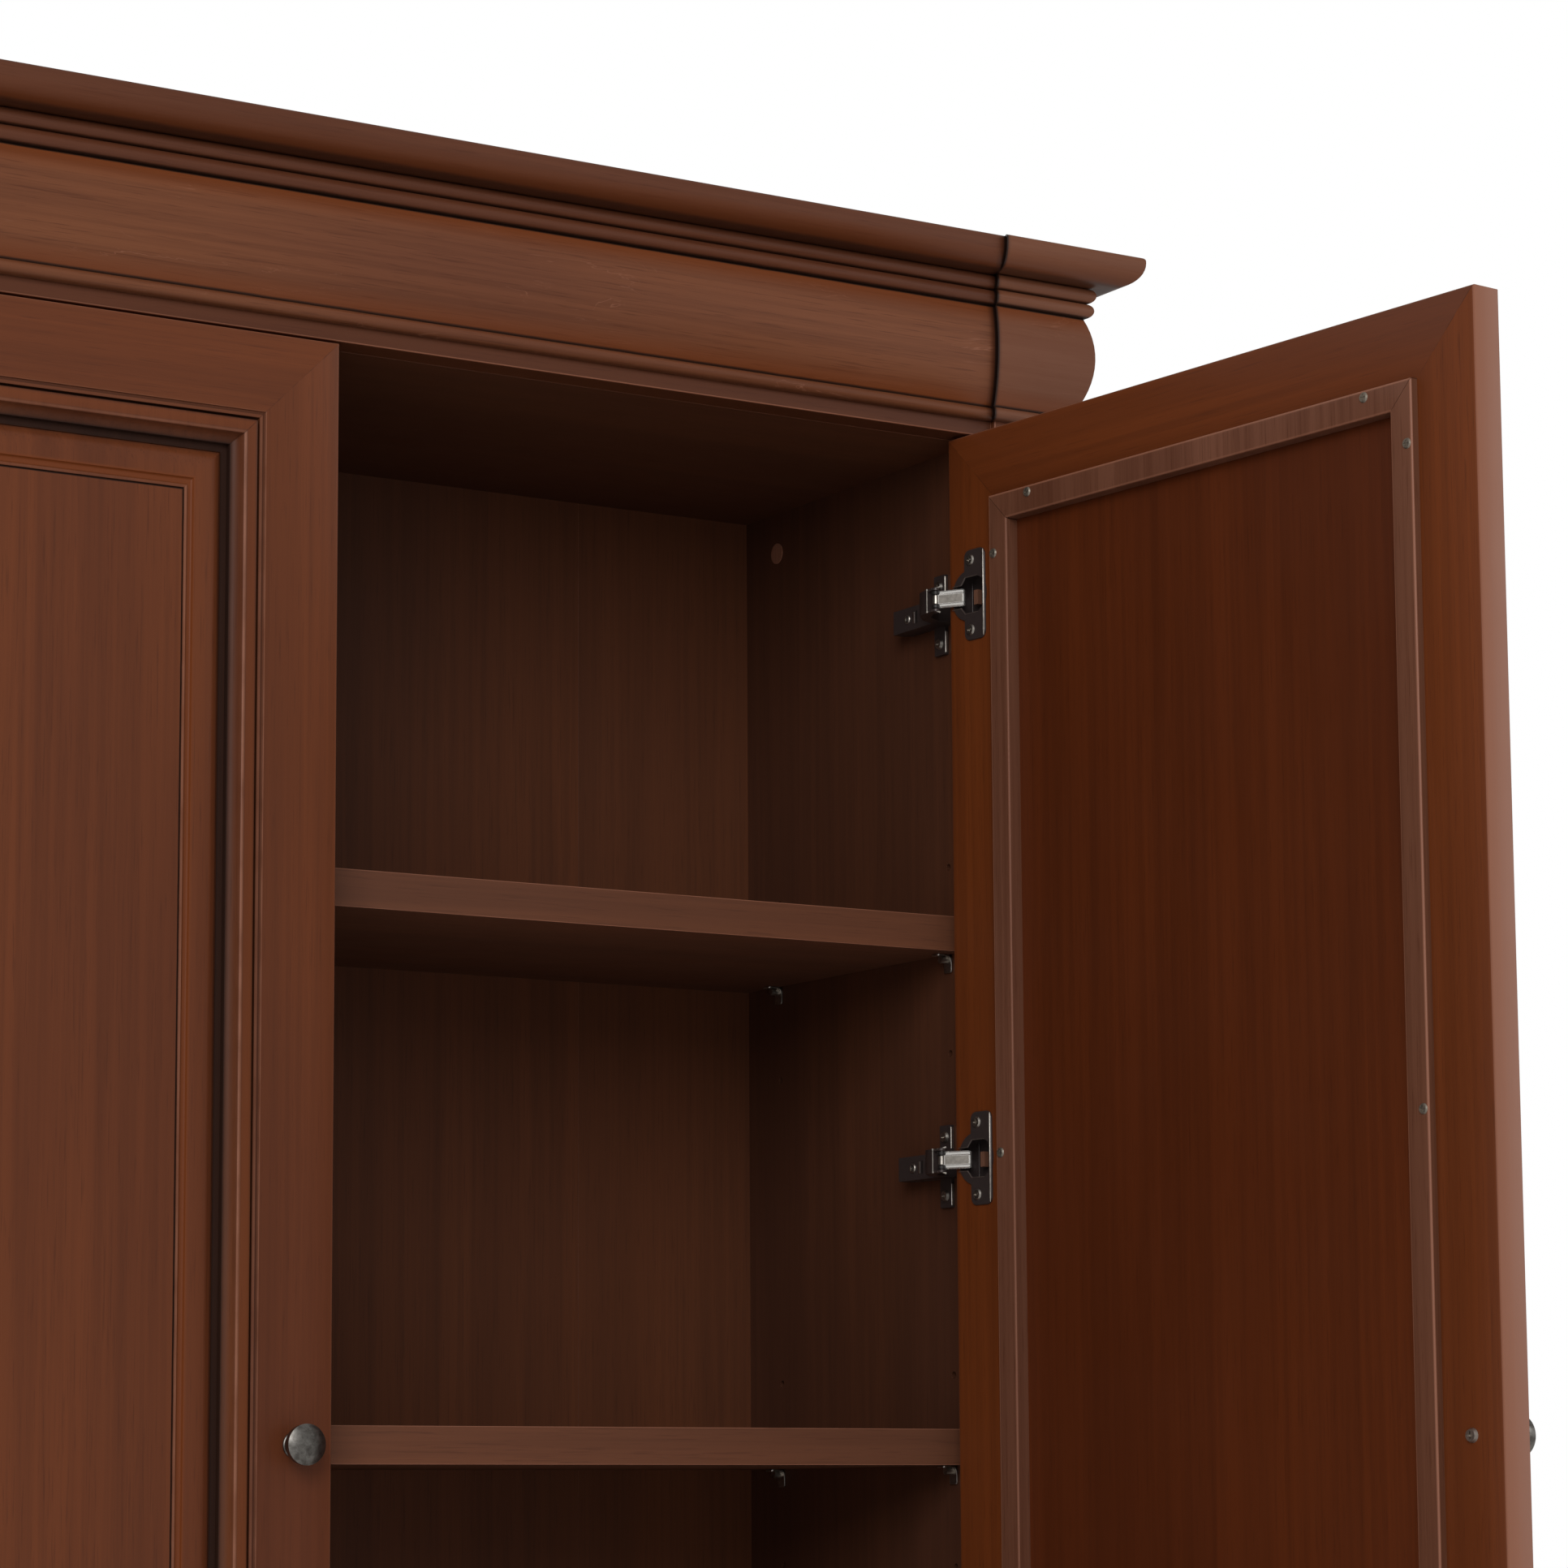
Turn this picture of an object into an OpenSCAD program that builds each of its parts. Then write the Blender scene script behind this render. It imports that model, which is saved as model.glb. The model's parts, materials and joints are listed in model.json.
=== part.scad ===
// Two-door armoire with a moulded cornice, inset raised-panel doors on concealed hinges
// and three full-width shelves. Millimetres, +Z up, front faces -Y, origin on the floor
// under the middle of the case. The left door is shut and the right door stands open.

/* [Case] */
// Clear width between the side walls
opening_w = 990; // [980:1:1000]
// Depth of the case from the post fronts to the back
case_depth = 336; // [330:1:345]
// Width of each front post
post_w = 55; // [50:1:60]
// Depth of each front post
post_depth = 45; // [40:1:46]
// Thickness of the wall lining inside each side
liner_t = 18; // [16:1:19]
// Distance from the door fronts to the face of the back boards
back_face = 323; // [318:1:325]
// How far the middle of the front is set back from the corner posts
front_recess = 4; // [2:0.5:6]

/* [Base] */
// Height of the underside of the doors above the floor
door_bottom = 105; // [100:1:120]
// Height of the skirting board
skirt_h = 82; // [70:1:86]
// Thickness of the skirting board
skirt_t = 12; // [10:1:14]

/* [Doors] */
// Height of each door
door_h = 1364; // [1350:1:1380]
// Thickness of the door frame
door_t = 22; // [21:0.5:23]
// Gap between the two doors and beside each of them
side_gap = 3; // [2.5:0.5:3.5]
// Gap above the doors
top_gap = 2.5; // [2:0.5:3]
// How far the right door stands open at rest, in degrees
right_open = 95.5; // [90:0.1:100]
// Distance of each knob from the door's free edge
knob_inset = 25; // [22:1:28]
// Diameter of each knob
knob_d = 24; // [22:1:26]

/* [Hinges] */
// Distance of the hinge axis from the door's hinge edge
pivot_in = 10; // [9.5:0.5:10.5]
// Distance of the hinge axis behind the door's front
pivot_back = 10; // [9.5:0.5:10.5]
// Diameter of the hinge cup
cup_d = 35; // [35:1:36]
// Depth of the hinge cup in the door
cup_depth = 13.6; // [13:0.1:14]
// Spacing of the hinges up the door
hinge_pitch = 380.7; // [375:0.1:385]

/* [Shelves] */
// Thickness of each shelf
shelf_t = 24; // [22:1:26]
// Height from one shelf to the next
shelf_pitch = 346; // [330:1:350]
// Distance from the doors' top down to the upper shelf
shelf_drop = 323; // [300:1:330]
// Distance from the doors' front to the shelves' front edge
shelf_front = 44; // [40:1:50]

/* [Hidden] */
$fn = 40;

LEFT = -1;
RIGHT = 1;
far = 3000;

// Colours
stain = [0.36, 0.18, 0.12];
inner_stain = [0.30, 0.15, 0.10];
pewter = [0.42, 0.38, 0.34];

// Case heights and widths
door_top = door_bottom + door_h;
inner_top = door_top + top_gap;
half_in = opening_w / 2;
half_out = half_in + post_w;
panel_t = 24;
board_t = 8;
floor_top = door_bottom - top_gap;
floor_under = floor_top - panel_t;
rail_t = 22;
cornice_z = door_top + 91;
rear_post_depth = 40;
side_rail_low = 130;
side_rail_high = 100;
side_panel_t = 12;
side_inset = 6;
back_seam = 352;
shelf_play = 1;
cap_drop = 27;
cap_r = 7.5;
cap_t = 0.8;

// Cornice heights above the doors' top, and how far each band stands out
bead_low = 13;
frieze_low = 22;
crown_low = cornice_z - door_top;
crown_high = 131.5;
crown_out = 43.5;
cornice_back = 22;
joint_slope = 0.37;
joint_x = half_in - 2;
frieze_r = 71;
frieze_mid = 63;
frieze_out = 17.8;

// Door layout, measured from a door's edges and its front face
door_w = (opening_w - 3 * side_gap) / 2;
stile_back_w = 48;
stile_w = 56.2;
batten_w = 18;
batten_out = 5.5;
panel_back = 17.6;
panel_edge = 58;
bevel_start = 76.5;
pivot_x = half_in - side_gap - pivot_in;
hinge_low = (door_h - 3 * hinge_pitch) / 2;
hinge_heights = [for (i = [0:3]) hinge_low + i * hinge_pitch];
knob_z = door_h / 2;
hinge_arris = 3.5;
small_arris = 1.2;

// Hinge parts, measured from the hinge axis: x to the wall, y to the back
cup_x = pivot_in - 21.5;
flange_t = 1;
cup_wall = 1.1;
cup_pin_r = 0.5;
cup_screw_x = cup_x - 2;
cup_screw_z = 24;
cup_pin_len = 25;
flange_x = cup_x - 16.5;
flange_w = 21;
flange_h = 62;
flange_r = 5;
arm_pin = [-22, 12];
arm_pin_r = 1.25;
link_len = 22;
link_shut = -14;
link_ratio = -0.45;
link_h = 11.8;
link_t = 2.8;
eye_r = 3;
arm_h = 16.4;
fork_deep = 40;
fork_end = 18;
fork_play = 0.4;
plate_y = 38;
plate_len = 55;
plate_t = 3;
plate_screw_y = 55;
plate_screw_z = 20;
wing_w = 13;
wing_h = 56;

// Shelf supports: two columns of holes in each wall
pin_r = 2.5;
pin_out = 8;
pin_in = 8;
collar_r = pin_r + 1.2;
collar_t = 1.5;
pin_columns = [62, 280];
spare_holes = [-64, 64];

// Screws
screw_r = 1.8;
screw_in = 9;
batten_screw_r = 1.5;
knob_bore_r = 2;
knob_hole_r = 2.3;
head_taper = 0.8;
recess_w = 0.9;
shelf_tops = [for (i = [0:2]) door_top - shelf_drop - i * shelf_pitch];

function arc(cx, cy, r, from, to, steps) =
    [for (i = [0:steps]) let (a = from + (to - from) * i / steps) [cx + r * cos(a), cy + r * sin(a)]];

// ---------- placing helpers ----------

// Moves to the doors' front plane, so that y is the distance behind it
module from_front() translate([0, -case_depth / 2, 0]) children();

module on_side(side) {
    if (side == RIGHT) children();
    if (side == LEFT) mirror([1, 0, 0]) children();
}

module both_sides() {
    children();
    mirror([1, 0, 0]) children();
}

// A door's frame has its origin on the hinge axis at the door's foot
module door_frame(side) {
    swing = side == RIGHT ? right_open : 0;
    on_side(side) from_front() translate([pivot_x, pivot_back, door_bottom])
        rotate([0, 0, swing]) children();
}

module hinge_places() {
    for (z = hinge_heights) translate([0, 0, z]) children();
}

// Case-side hinge parts stay with the walls
module wall_hinge_frames(side) {
    on_side(side) from_front() translate([pivot_x, pivot_back, door_bottom]) hinge_places() children();
}

// Corner-to-corner box in the plane behind the doors' front
module block(x0, x1, y0, y1, z0, z1) from_front() translate([x0, y0, z0]) cube([x1 - x0, y1 - y0, z1 - z0]);

// ---------- moulding helpers ----------

// A profile's x is the distance out from the case and its y is the height
module bar_along_x(profile) rotate([90, 0, -90]) linear_extrude(far, center = true) polygon(profile);

module bar_along_y(profile) rotate([90, 0, 0]) linear_extrude(far, center = true) polygon(profile);

module plan_block(points) linear_extrude(far) polygon(points);

// Plans of the lengths that a moulding is cut to; the corners are 45 degree mitres
function corner_point(out) = [half_out + out, -out];
function joint_point(out) = [joint_x - joint_slope * out, -out];
function flipped(points) = [for (p = points) [-p[0], p[1]]];

deep = -post_depth;
proud = 100;
whole_front = [corner_point(proud), corner_point(deep)];
middle_ends = [joint_point(proud), joint_point(deep)];

module front_length() plan_block(concat(whole_front, flipped([whole_front[1], whole_front[0]])));

module middle_length() plan_block(concat(middle_ends, flipped([middle_ends[1], middle_ends[0]])));

module corner_length() plan_block(concat(middle_ends, [whole_front[1], whole_front[0]]));

module side_length() plan_block(concat([whole_front[1], whole_front[0]],
    [[half_out + proud, case_depth], [half_out + deep, case_depth]]));

module front_moulding(profile, set_back) from_front() intersection() {
    translate([0, set_back, 0]) bar_along_x(profile);
    children();
}

module side_moulding(profile) both_sides() from_front() intersection() {
    translate([half_out, 0, 0]) bar_along_y(profile);
    side_length();
}

// ---------- base ----------

skirt_profile = [[0, 0], [skirt_t, 0], [skirt_t, skirt_h], [0, skirt_h]];
cap_high = skirt_h + 16;
cap_profile = concat([[0, skirt_h], [skirt_t + 2, skirt_h], [skirt_t + 2, skirt_h + 4]],
    arc(skirt_t + 2, skirt_h + 10, 6, -90, -180, 8), arc(2, cap_high - 6, 6, 0, 90, 8), [[0, cap_high]]);

module skirting_front() color(stain) front_moulding(skirt_profile, 0) front_length();

module skirting_sides() color(stain) side_moulding(skirt_profile);

module skirting_cap_front() color(stain) front_moulding(cap_profile, 0) front_length();

module skirting_cap_sides() color(stain) side_moulding(cap_profile);

module plinth_bearers() color(inner_stain) {
    translate([-half_in, -rail_t / 2, 0]) cube([opening_w, rail_t, floor_under]);
    block(-half_in, half_in, back_face - rail_t, back_face, 0, floor_under);
}

module bottom_panel() color(inner_stain)
    block(-half_in, half_in, front_recess, back_face, floor_under, floor_top);

// ---------- case ----------

module front_post() block(half_in, half_out, 0, post_depth, 0, cornice_z);

module front_post_left() color(stain) on_side(LEFT) front_post();

module front_post_right() color(stain) on_side(RIGHT) front_post();

module rear_posts() color(stain) both_sides()
    block(half_in + liner_t, half_out, case_depth - rear_post_depth, case_depth, 0, cornice_z);

module side_rails() color(stain) both_sides()
    for (z = [[0, side_rail_low], [cornice_z - side_rail_high, cornice_z]])
        block(half_out - rail_t, half_out, post_depth, case_depth - rear_post_depth, z[0], z[1]);

module side_panels() color(stain) both_sides()
    block(half_out - side_inset - side_panel_t, half_out - side_inset, post_depth,
        case_depth - rear_post_depth, side_rail_low, cornice_z - side_rail_high);

// Holes in a wall for the shelf supports, the spare holes and the hinge-plate screws
module wall_holes() {
    for (y = pin_columns)
        for (top = shelf_tops)
            for (dz = concat([0], spare_holes))
                from_front() translate([half_in - 1, y, top - shelf_t - collar_r + dz]) rotate([0, 90, 0])
                    cylinder(r = pin_r, h = pin_in + 1);
    wall_hinge_frames(RIGHT) plate_screw_places()
        translate([0, 0, -screw_in]) cylinder(r = screw_r, h = screw_in + 1);
}

module wall_liner() difference() {
    block(half_in, half_in + liner_t, post_depth, back_face, floor_under, cornice_z);
    wall_holes();
}

module wall_liner_left() color(inner_stain) on_side(LEFT) wall_liner();

module wall_liner_right() color(inner_stain) on_side(RIGHT) wall_liner();

module top_panel() color(inner_stain)
    block(-half_in, half_in, front_recess + rail_t, back_face, inner_top, inner_top + panel_t);

module top_rail() color(stain)
    block(-half_in, half_in, front_recess, front_recess + rail_t, inner_top, cornice_z);

module dust_cover() color(inner_stain)
    block(-half_out + cornice_back, half_out - cornice_back, front_recess + cornice_back, case_depth,
        cornice_z, cornice_z + board_t);

module back_board(x0, x1) color(inner_stain)
    block(x0, x1, back_face, back_face + board_t, floor_under, cornice_z);

module back_board_left() back_board(-half_in - liner_t, -back_seam);

module back_board_middle() back_board(-back_seam, back_seam);

module back_board_right() back_board(back_seam, half_in + liner_t);

// ---------- shelves ----------

module shelf(top) color(inner_stain)
    block(-half_in + shelf_play, half_in - shelf_play, shelf_front, back_face - shelf_play, top - shelf_t, top);

module shelf_upper() shelf(shelf_tops[0]);

module shelf_middle() shelf(shelf_tops[1]);

module shelf_lower() shelf(shelf_tops[2]);

module shelf_pins() color("silver") both_sides() from_front()
    for (top = shelf_tops)
        for (y = pin_columns)
            translate([half_in - pin_out, y, top - shelf_t - collar_r]) rotate([0, 90, 0]) {
                cylinder(r = pin_r, h = pin_out + pin_in);
                translate([0, 0, pin_out - collar_t]) cylinder(r = collar_r, h = collar_t);
            }

module connector_caps() color([0.25, 0.14, 0.10]) both_sides() from_front()
    for (z = [door_top - cap_drop, floor_top + cap_drop])
        translate([half_in - cap_t, pin_columns[1], z]) rotate([0, 90, 0]) cylinder(r = cap_r, h = cap_t);

// ---------- cornice ----------

frieze_profile = concat([[0, door_top + bead_low], [3, door_top + bead_low]],
    arc(3, door_top + (bead_low + frieze_low) / 2, (frieze_low - bead_low) / 2, -70, 70, 8),
    arc(frieze_out - frieze_r, door_top + frieze_mid, frieze_r,
        asin((frieze_low - frieze_mid) / frieze_r), asin((crown_low - frieze_mid) / frieze_r), 14),
    [[0, door_top + crown_low]]);

bead_r = 5.25;
nose_r = 16;
lip_r = 2.5;
crown_profile = concat([[-cornice_back, cornice_z], [12, cornice_z]],
    arc(12.4, cornice_z + bead_r, bead_r, -80, 78, 10),
    arc(13.6, cornice_z + 3 * bead_r, bead_r, -78, 78, 10),
    arc(crown_out - nose_r, cornice_z + 4 * bead_r - 0.5 + nose_r, nose_r, -90, 0, 10),
    arc(crown_out - lip_r, door_top + crown_high - lip_r, lip_r, 0, 90, 4),
    [[-cornice_back, door_top + crown_high]]);

module crown_front() color(stain) front_moulding(crown_profile, front_recess) middle_length();

module crown_corners() color(stain) both_sides() front_moulding(crown_profile, 0) corner_length();

module crown_sides() color(stain) side_moulding(crown_profile);

module frieze_front() color(stain) front_moulding(frieze_profile, front_recess) middle_length();

module frieze_corners() color(stain) both_sides() front_moulding(frieze_profile, 0) corner_length();

module frieze_sides() color(stain) side_moulding(frieze_profile);

// ---------- doors ----------

// Door outlines: x is the distance in from the door's edge, y the depth behind its front
function frame_profile(arris) = concat(
    arc(arris, arris, arris, 180, 270, 6),
    [[50, 0], [50.3, 1.1], [51.8, 1.1], [52.1, 0.5], [54, 0.5], [54.4, 3.8], [stile_w, 3.8],
     [stile_w, panel_back], [stile_back_w, panel_back], [stile_back_w, door_t]],
    arc(small_arris, door_t - small_arris, small_arris, 90, 180, 3));

moulding_profile = concat([[stile_w, 9.4], [stile_w, -1.6]],
    arc(stile_w + 1.2, -1.2, 1.2, 190, 270, 4),
    [[63, -2.7]], arc(64.8, -1.9, 1.1, 235, 320, 4),
    arc(73.2, -2.4, 7.4, 178, 100, 8), [[71.9, 9.4]]);

field_edge = 104.6;
field_inner = field_edge + 3;
field_from = field_edge + 1;
field_front = 1.8;
panel_profile = concat(
    [[panel_edge, panel_back], [panel_edge, 9.5], [bevel_start, 9.5], [bevel_start + 0.6, 7.6]],
    arc(92.5, 27.7, 24.5, -129, -86, 8),
    arc(98.6, 3.0, 2.6, 160, 20, 8),
    [[101.4, 2.6], [103.2, 2.5], [103.5, 3.6], [104.3, 3.6], [field_edge, field_front],
     [field_inner, field_front], [field_inner, panel_back]]);

// Turns door outline coordinates into the door frame: x from the hinge edge, y behind the front
module door_corner() translate([pivot_in, -pivot_back, 0]) mirror([1, 0, 0]) children();

module upright(profile) linear_extrude(door_h) polygon(profile);

// A level bar whose outline is measured up from the door's foot
module level(profile) rotate([90, 0, 90]) linear_extrude(door_w) polygon([for (p = profile) [p[1], p[0]]]);

// Front view of a stile and of a rail, both cut with 45 degree mitres
mitre_w = 110;
module mitred(points) translate([0, 60, 0]) rotate([90, 0, 0]) linear_extrude(120) polygon(points);

module stile_cut(gap) translate([0, 0, gap])
    mitred([[-1, -1], [mitre_w, mitre_w], [mitre_w, door_h - mitre_w - 2 * gap], [-1, door_h + 1 - 2 * gap]]);

module rail_cut() mitred([[-1, -1], [mitre_w, mitre_w], [door_w - mitre_w, mitre_w], [door_w + 1, -1]]);

module stile_shape(profile, gap = 0) intersection() {
    upright(profile);
    stile_cut(gap);
}

module rail_shape(profile) intersection() {
    level(profile);
    rail_cut();
}

// Outlines of the whole door, with its softened edges, in plan and from the side
function door_plan() = concat(arc(hinge_arris, hinge_arris, hinge_arris, 180, 270, 6),
    arc(door_w - small_arris, small_arris, small_arris, 270, 360, 3),
    arc(door_w - small_arris, door_t - small_arris, small_arris, 0, 90, 3),
    arc(small_arris, door_t - small_arris, small_arris, 90, 180, 3));
function door_side() = concat(arc(small_arris, small_arris, small_arris, 180, 270, 3),
    arc(door_h - small_arris, small_arris, small_arris, 270, 360, 3),
    arc(door_h - small_arris, door_t - small_arris, small_arris, 0, 90, 3),
    arc(small_arris, door_t - small_arris, small_arris, 90, 180, 3));

module soft_edged() intersection() {
    children();
    upright(door_plan());
    level(door_side());
}

module at_free_edge() translate([door_w, 0, 0]) mirror([1, 0, 0]) children();

module at_top() translate([0, 0, door_h]) mirror([0, 0, 1]) children();

// Batten screws run round the back of the door on the battens' outer half
screw_line = stile_back_w + 4.5;
screw_corner = 88;
screw_middle = 490;
screw_ends = [screw_corner, screw_middle, door_h - screw_middle, door_h - screw_corner];
screw_across = [screw_corner, door_w - screw_corner];

module batten_screw_places() translate([0, door_t + batten_out, 0]) {
    for (z = screw_ends)
        for (x = [screw_line, door_w - screw_line])
            translate([x, 0, z]) rotate([-90, 0, 0]) children();
    for (x = screw_across)
        for (z = [screw_line, door_h - screw_line])
            translate([x, 0, z]) rotate([-90, 0, 0]) children();
}

batten_screw_len = batten_out + door_t - panel_back + 6;
module batten_screw_holes() batten_screw_places()
    translate([0, 0, -batten_screw_len]) cylinder(r = batten_screw_r, h = batten_screw_len + 1);

module knob_place() translate([door_w - knob_inset, 0, knob_z]) rotate([90, 0, 0]) children();

module cup_bores() door_to_edge() hinge_places() translate([cup_x, door_t - pivot_back, 0])
    rotate([90, 0, 0]) translate([0, 0, -1]) cylinder(d = cup_d, h = cup_depth + 1);

// Turns door frame coordinates into outline coordinates, for the bores
module door_to_edge() mirror([1, 0, 0]) translate([-pivot_in, pivot_back, 0]) children();

module hinge_stile() difference() {
    soft_edged() stile_shape(frame_profile(hinge_arris));
    cup_bores();
    door_to_edge() cup_screw_places() translate([0, 0, -screw_in]) cylinder(r = screw_r, h = screw_in + 1);
    batten_screw_holes();
}

module free_stile() difference() {
    soft_edged() at_free_edge() stile_shape(frame_profile(small_arris));
    knob_place() translate([0, 0, -door_t - 1]) cylinder(r = knob_hole_r, h = door_t + 2);
    batten_screw_holes();
}

module bottom_rail() difference() {
    soft_edged() rail_shape(frame_profile(small_arris));
    batten_screw_holes();
}

module top_rail_of_door() difference() {
    soft_edged() at_top() rail_shape(frame_profile(small_arris));
    batten_screw_holes();
}

// Four mitred bars with a fine gap at each mitre
module four_sides(profile, gap) {
    stile_shape(profile, gap);
    at_free_edge() stile_shape(profile, gap);
    rail_shape(profile);
    at_top() rail_shape(profile);
}

// The flat field with the bevels mitred round it, in one piece
module raised_panel() {
    four_sides(panel_profile, 0);
    translate([field_from, field_front, field_from])
        cube([door_w - 2 * field_from, panel_back - field_front, door_h - 2 * field_from]);
}

module moulding() four_sides(moulding_profile, 0.1);

batten_arris = 1;
batten_end = stile_back_w + batten_w;
batten_top = door_t + batten_out;
batten_profile = concat([[stile_back_w, panel_back]],
    arc(stile_back_w + batten_arris, batten_top - batten_arris, batten_arris, 180, 90, 3),
    arc(batten_end - batten_arris, batten_top - batten_arris, batten_arris, 90, 0, 3),
    [[batten_end, panel_back]]);

module battens() difference() {
    four_sides(batten_profile, 0.5);
    batten_screw_holes();
}

module batten_screws() batten_screw_places() {
    translate([0, 0, -batten_screw_len]) cylinder(r = batten_screw_r, h = batten_screw_len);
    screw_head(3.4, 1.0, 1.9);
}

// A tapered head with a blind cross recess, standing on the surface
module screw_head(r, h, reach) difference() {
    cylinder(r1 = r, r2 = r * head_taper, h = h);
    translate([-reach, -recess_w / 2, h / 3]) cube([2 * reach, recess_w, h]);
    translate([-recess_w / 2, -reach, h / 3]) cube([recess_w, 2 * reach, h]);
}

knob_profile = concat([[knob_bore_r, 0], [7.5, 0]], arc(7.2, 1.2, 0.9, -60, 80, 4),
    arc(9.5, 8, 5, 230, 150, 6), arc(knob_d / 2 - 2.4, 13.4, 2.4, -80, 10, 6),
    arc(0, -4.5, 25.6, 61, 78, 6), [[0, 21.1], [0, 14], [knob_bore_r, 14]]);

module knob() knob_place() rotate_extrude() polygon(knob_profile);

module knob_screw() knob_place() {
    translate([0, 0, -door_t]) cylinder(r = knob_bore_r, h = door_t + 13);
    translate([0, 0, -door_t]) mirror([0, 0, 1]) screw_head(4.5, 2.2, 2.3);
}

// ---------- hinges ----------

module cup_screw_places() hinge_places()
    for (z = [-cup_screw_z, cup_screw_z])
        translate([cup_screw_x, door_t - pivot_back + flange_t, z]) rotate([-90, 0, 0]) children();

flange_top = flange_h / 2 - flange_r;
flange_outline = concat(
    arc(flange_w - flange_r, flange_top, flange_r, 0, 90, 4), arc(flange_r, flange_top, flange_r, 90, 180, 4),
    arc(flange_r, -flange_top, flange_r, 180, 270, 4),
    arc(flange_w - flange_r, -flange_top, flange_r, 270, 360, 4));

// A drawn cup under a flange, with the thin pin that the door turns about across it
module hinge_cup() {
    difference() {
        union() {
            translate([cup_x, door_t - pivot_back - cup_depth, 0]) rotate([-90, 0, 0])
                cylinder(d = cup_d, h = cup_depth + flange_t);
            translate([flange_x, door_t - pivot_back + flange_t, 0]) rotate([90, 0, 0])
                linear_extrude(flange_t) polygon(flange_outline);
        }
        translate([cup_x, door_t - pivot_back - cup_depth + 1, 0]) rotate([-90, 0, 0])
            cylinder(d = cup_d - 2 * cup_wall, h = cup_depth + flange_t);
    }
    translate([0, 0, -cup_pin_len / 2]) cylinder(r = cup_pin_r, h = cup_pin_len);
}

module hinge_cups() difference() {
    hinge_places() hinge_cup();
    cup_screw_places() translate([0, 0, -2 * flange_t]) cylinder(r = screw_r, h = 3 * flange_t);
}

module cup_screws() cup_screw_places() {
    translate([0, 0, -screw_in]) cylinder(r = screw_r, h = screw_in);
    screw_head(4, 1.6, 2.2);
}

// Cranked arm: reaches from the plate on the wall round to the pin beside the cup
arm_plan = [[10, 36], [10, 96], [-1, 96], [-2, 47], [-13, 42], [-22.5, 31], [-25, 19], [-25, 12],
    [-19, 12], [-19, 20], [-14, 30], [-4, 36]];

module arm() difference() {
    union() {
        translate([0, 0, -arm_h / 2]) linear_extrude(arm_h) polygon(arm_plan);
        translate([arm_pin[0], arm_pin[1], -arm_h / 2]) cylinder(r = eye_r, h = arm_h);
    }
    translate([-fork_deep, 0, -link_h / 2 - fork_play])
        cube([fork_deep, fork_end, link_h + 2 * fork_play]);
    translate([arm_pin[0], arm_pin[1], -arm_h]) cylinder(r = arm_pin_r, h = 2 * arm_h);
}

module hinge_arms() color([0.16, 0.15, 0.15]) {
    wall_hinge_frames(LEFT) arm();
    wall_hinge_frames(RIGHT) arm();
}

module arm_pin_rod() translate([arm_pin[0], arm_pin[1], -arm_h / 2]) cylinder(r = arm_pin_r, h = arm_h);

module hinge_arm_pins() color("silver") {
    wall_hinge_frames(LEFT) arm_pin_rod();
    wall_hinge_frames(RIGHT) arm_pin_rod();
}

module plate_screw_places()
    for (z = [-plate_screw_z, plate_screw_z])
        translate([pivot_in + side_gap, plate_screw_y, z]) rotate([0, -90, 0]) children();

module hinge_plate() {
    wall_x = pivot_in + side_gap;
    difference() {
        union() {
            translate([wall_x - plate_t, plate_y, -arm_h / 2]) cube([plate_t, plate_len, arm_h]);
            translate([wall_x - plate_t, plate_screw_y - wing_w / 2, -wing_h / 2])
                cube([plate_t, wing_w, wing_h]);
        }
        plate_screw_places() translate([0, 0, -1]) cylinder(r = screw_r, h = 2 * plate_t);
    }
}

module hinge_plates() color([0.16, 0.15, 0.15]) {
    wall_hinge_frames(LEFT) hinge_plate();
    wall_hinge_frames(RIGHT) hinge_plate();
}

module plate_screw() {
    translate([0, 0, -screw_in]) cylinder(r = screw_r, h = screw_in + plate_t);
    translate([0, 0, plate_t]) screw_head(4, 1.8, 2.2);
}

module hinge_plate_screws() color("silver") {
    wall_hinge_frames(LEFT) plate_screw_places() plate_screw();
    wall_hinge_frames(RIGHT) plate_screw_places() plate_screw();
}

// Bright link from the arm's pin into the cup
module link(swing) translate([arm_pin[0], arm_pin[1], -link_h / 2])
    rotate([0, 0, link_shut + link_ratio * swing]) difference() {
        union() {
            cylinder(r = eye_r, h = link_h);
            translate([0, -link_t / 2, 0]) cube([link_len - link_t / 2, link_t, link_h]);
            translate([link_len - link_t / 2, 0, 0]) cylinder(r = link_t / 2, h = link_h);
        }
        translate([0, 0, -1]) cylinder(r = arm_pin_r + 0.05, h = link_h + 2);
    }

module left_hinge_links() color([0.75, 0.74, 0.72]) wall_hinge_frames(LEFT) link(0);

module right_hinge_links() color([0.75, 0.74, 0.72]) wall_hinge_frames(RIGHT) link(right_open);

// ---------- door parts in place ----------

module door_part(side) door_frame(side) door_corner() children();

module left_hinge_stile() color(stain) door_part(LEFT) hinge_stile();
module left_free_stile() color(stain) door_part(LEFT) free_stile();
module left_top_rail() color(stain) door_part(LEFT) top_rail_of_door();
module left_bottom_rail() color(stain) door_part(LEFT) bottom_rail();
module left_panel() color(stain) door_part(LEFT) raised_panel();
module left_moulding() color(stain) door_part(LEFT) moulding();
module left_battens() color(inner_stain) door_part(LEFT) battens();
module left_batten_screws() color("silver") door_part(LEFT) batten_screws();
module left_knob() color(pewter) door_part(LEFT) knob();
module left_knob_screw() color("silver") door_part(LEFT) knob_screw();
module left_hinge_cups() color([0.16, 0.15, 0.15]) door_frame(LEFT) hinge_cups();
module left_cup_screws() color("silver") door_frame(LEFT) cup_screws();

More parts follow.
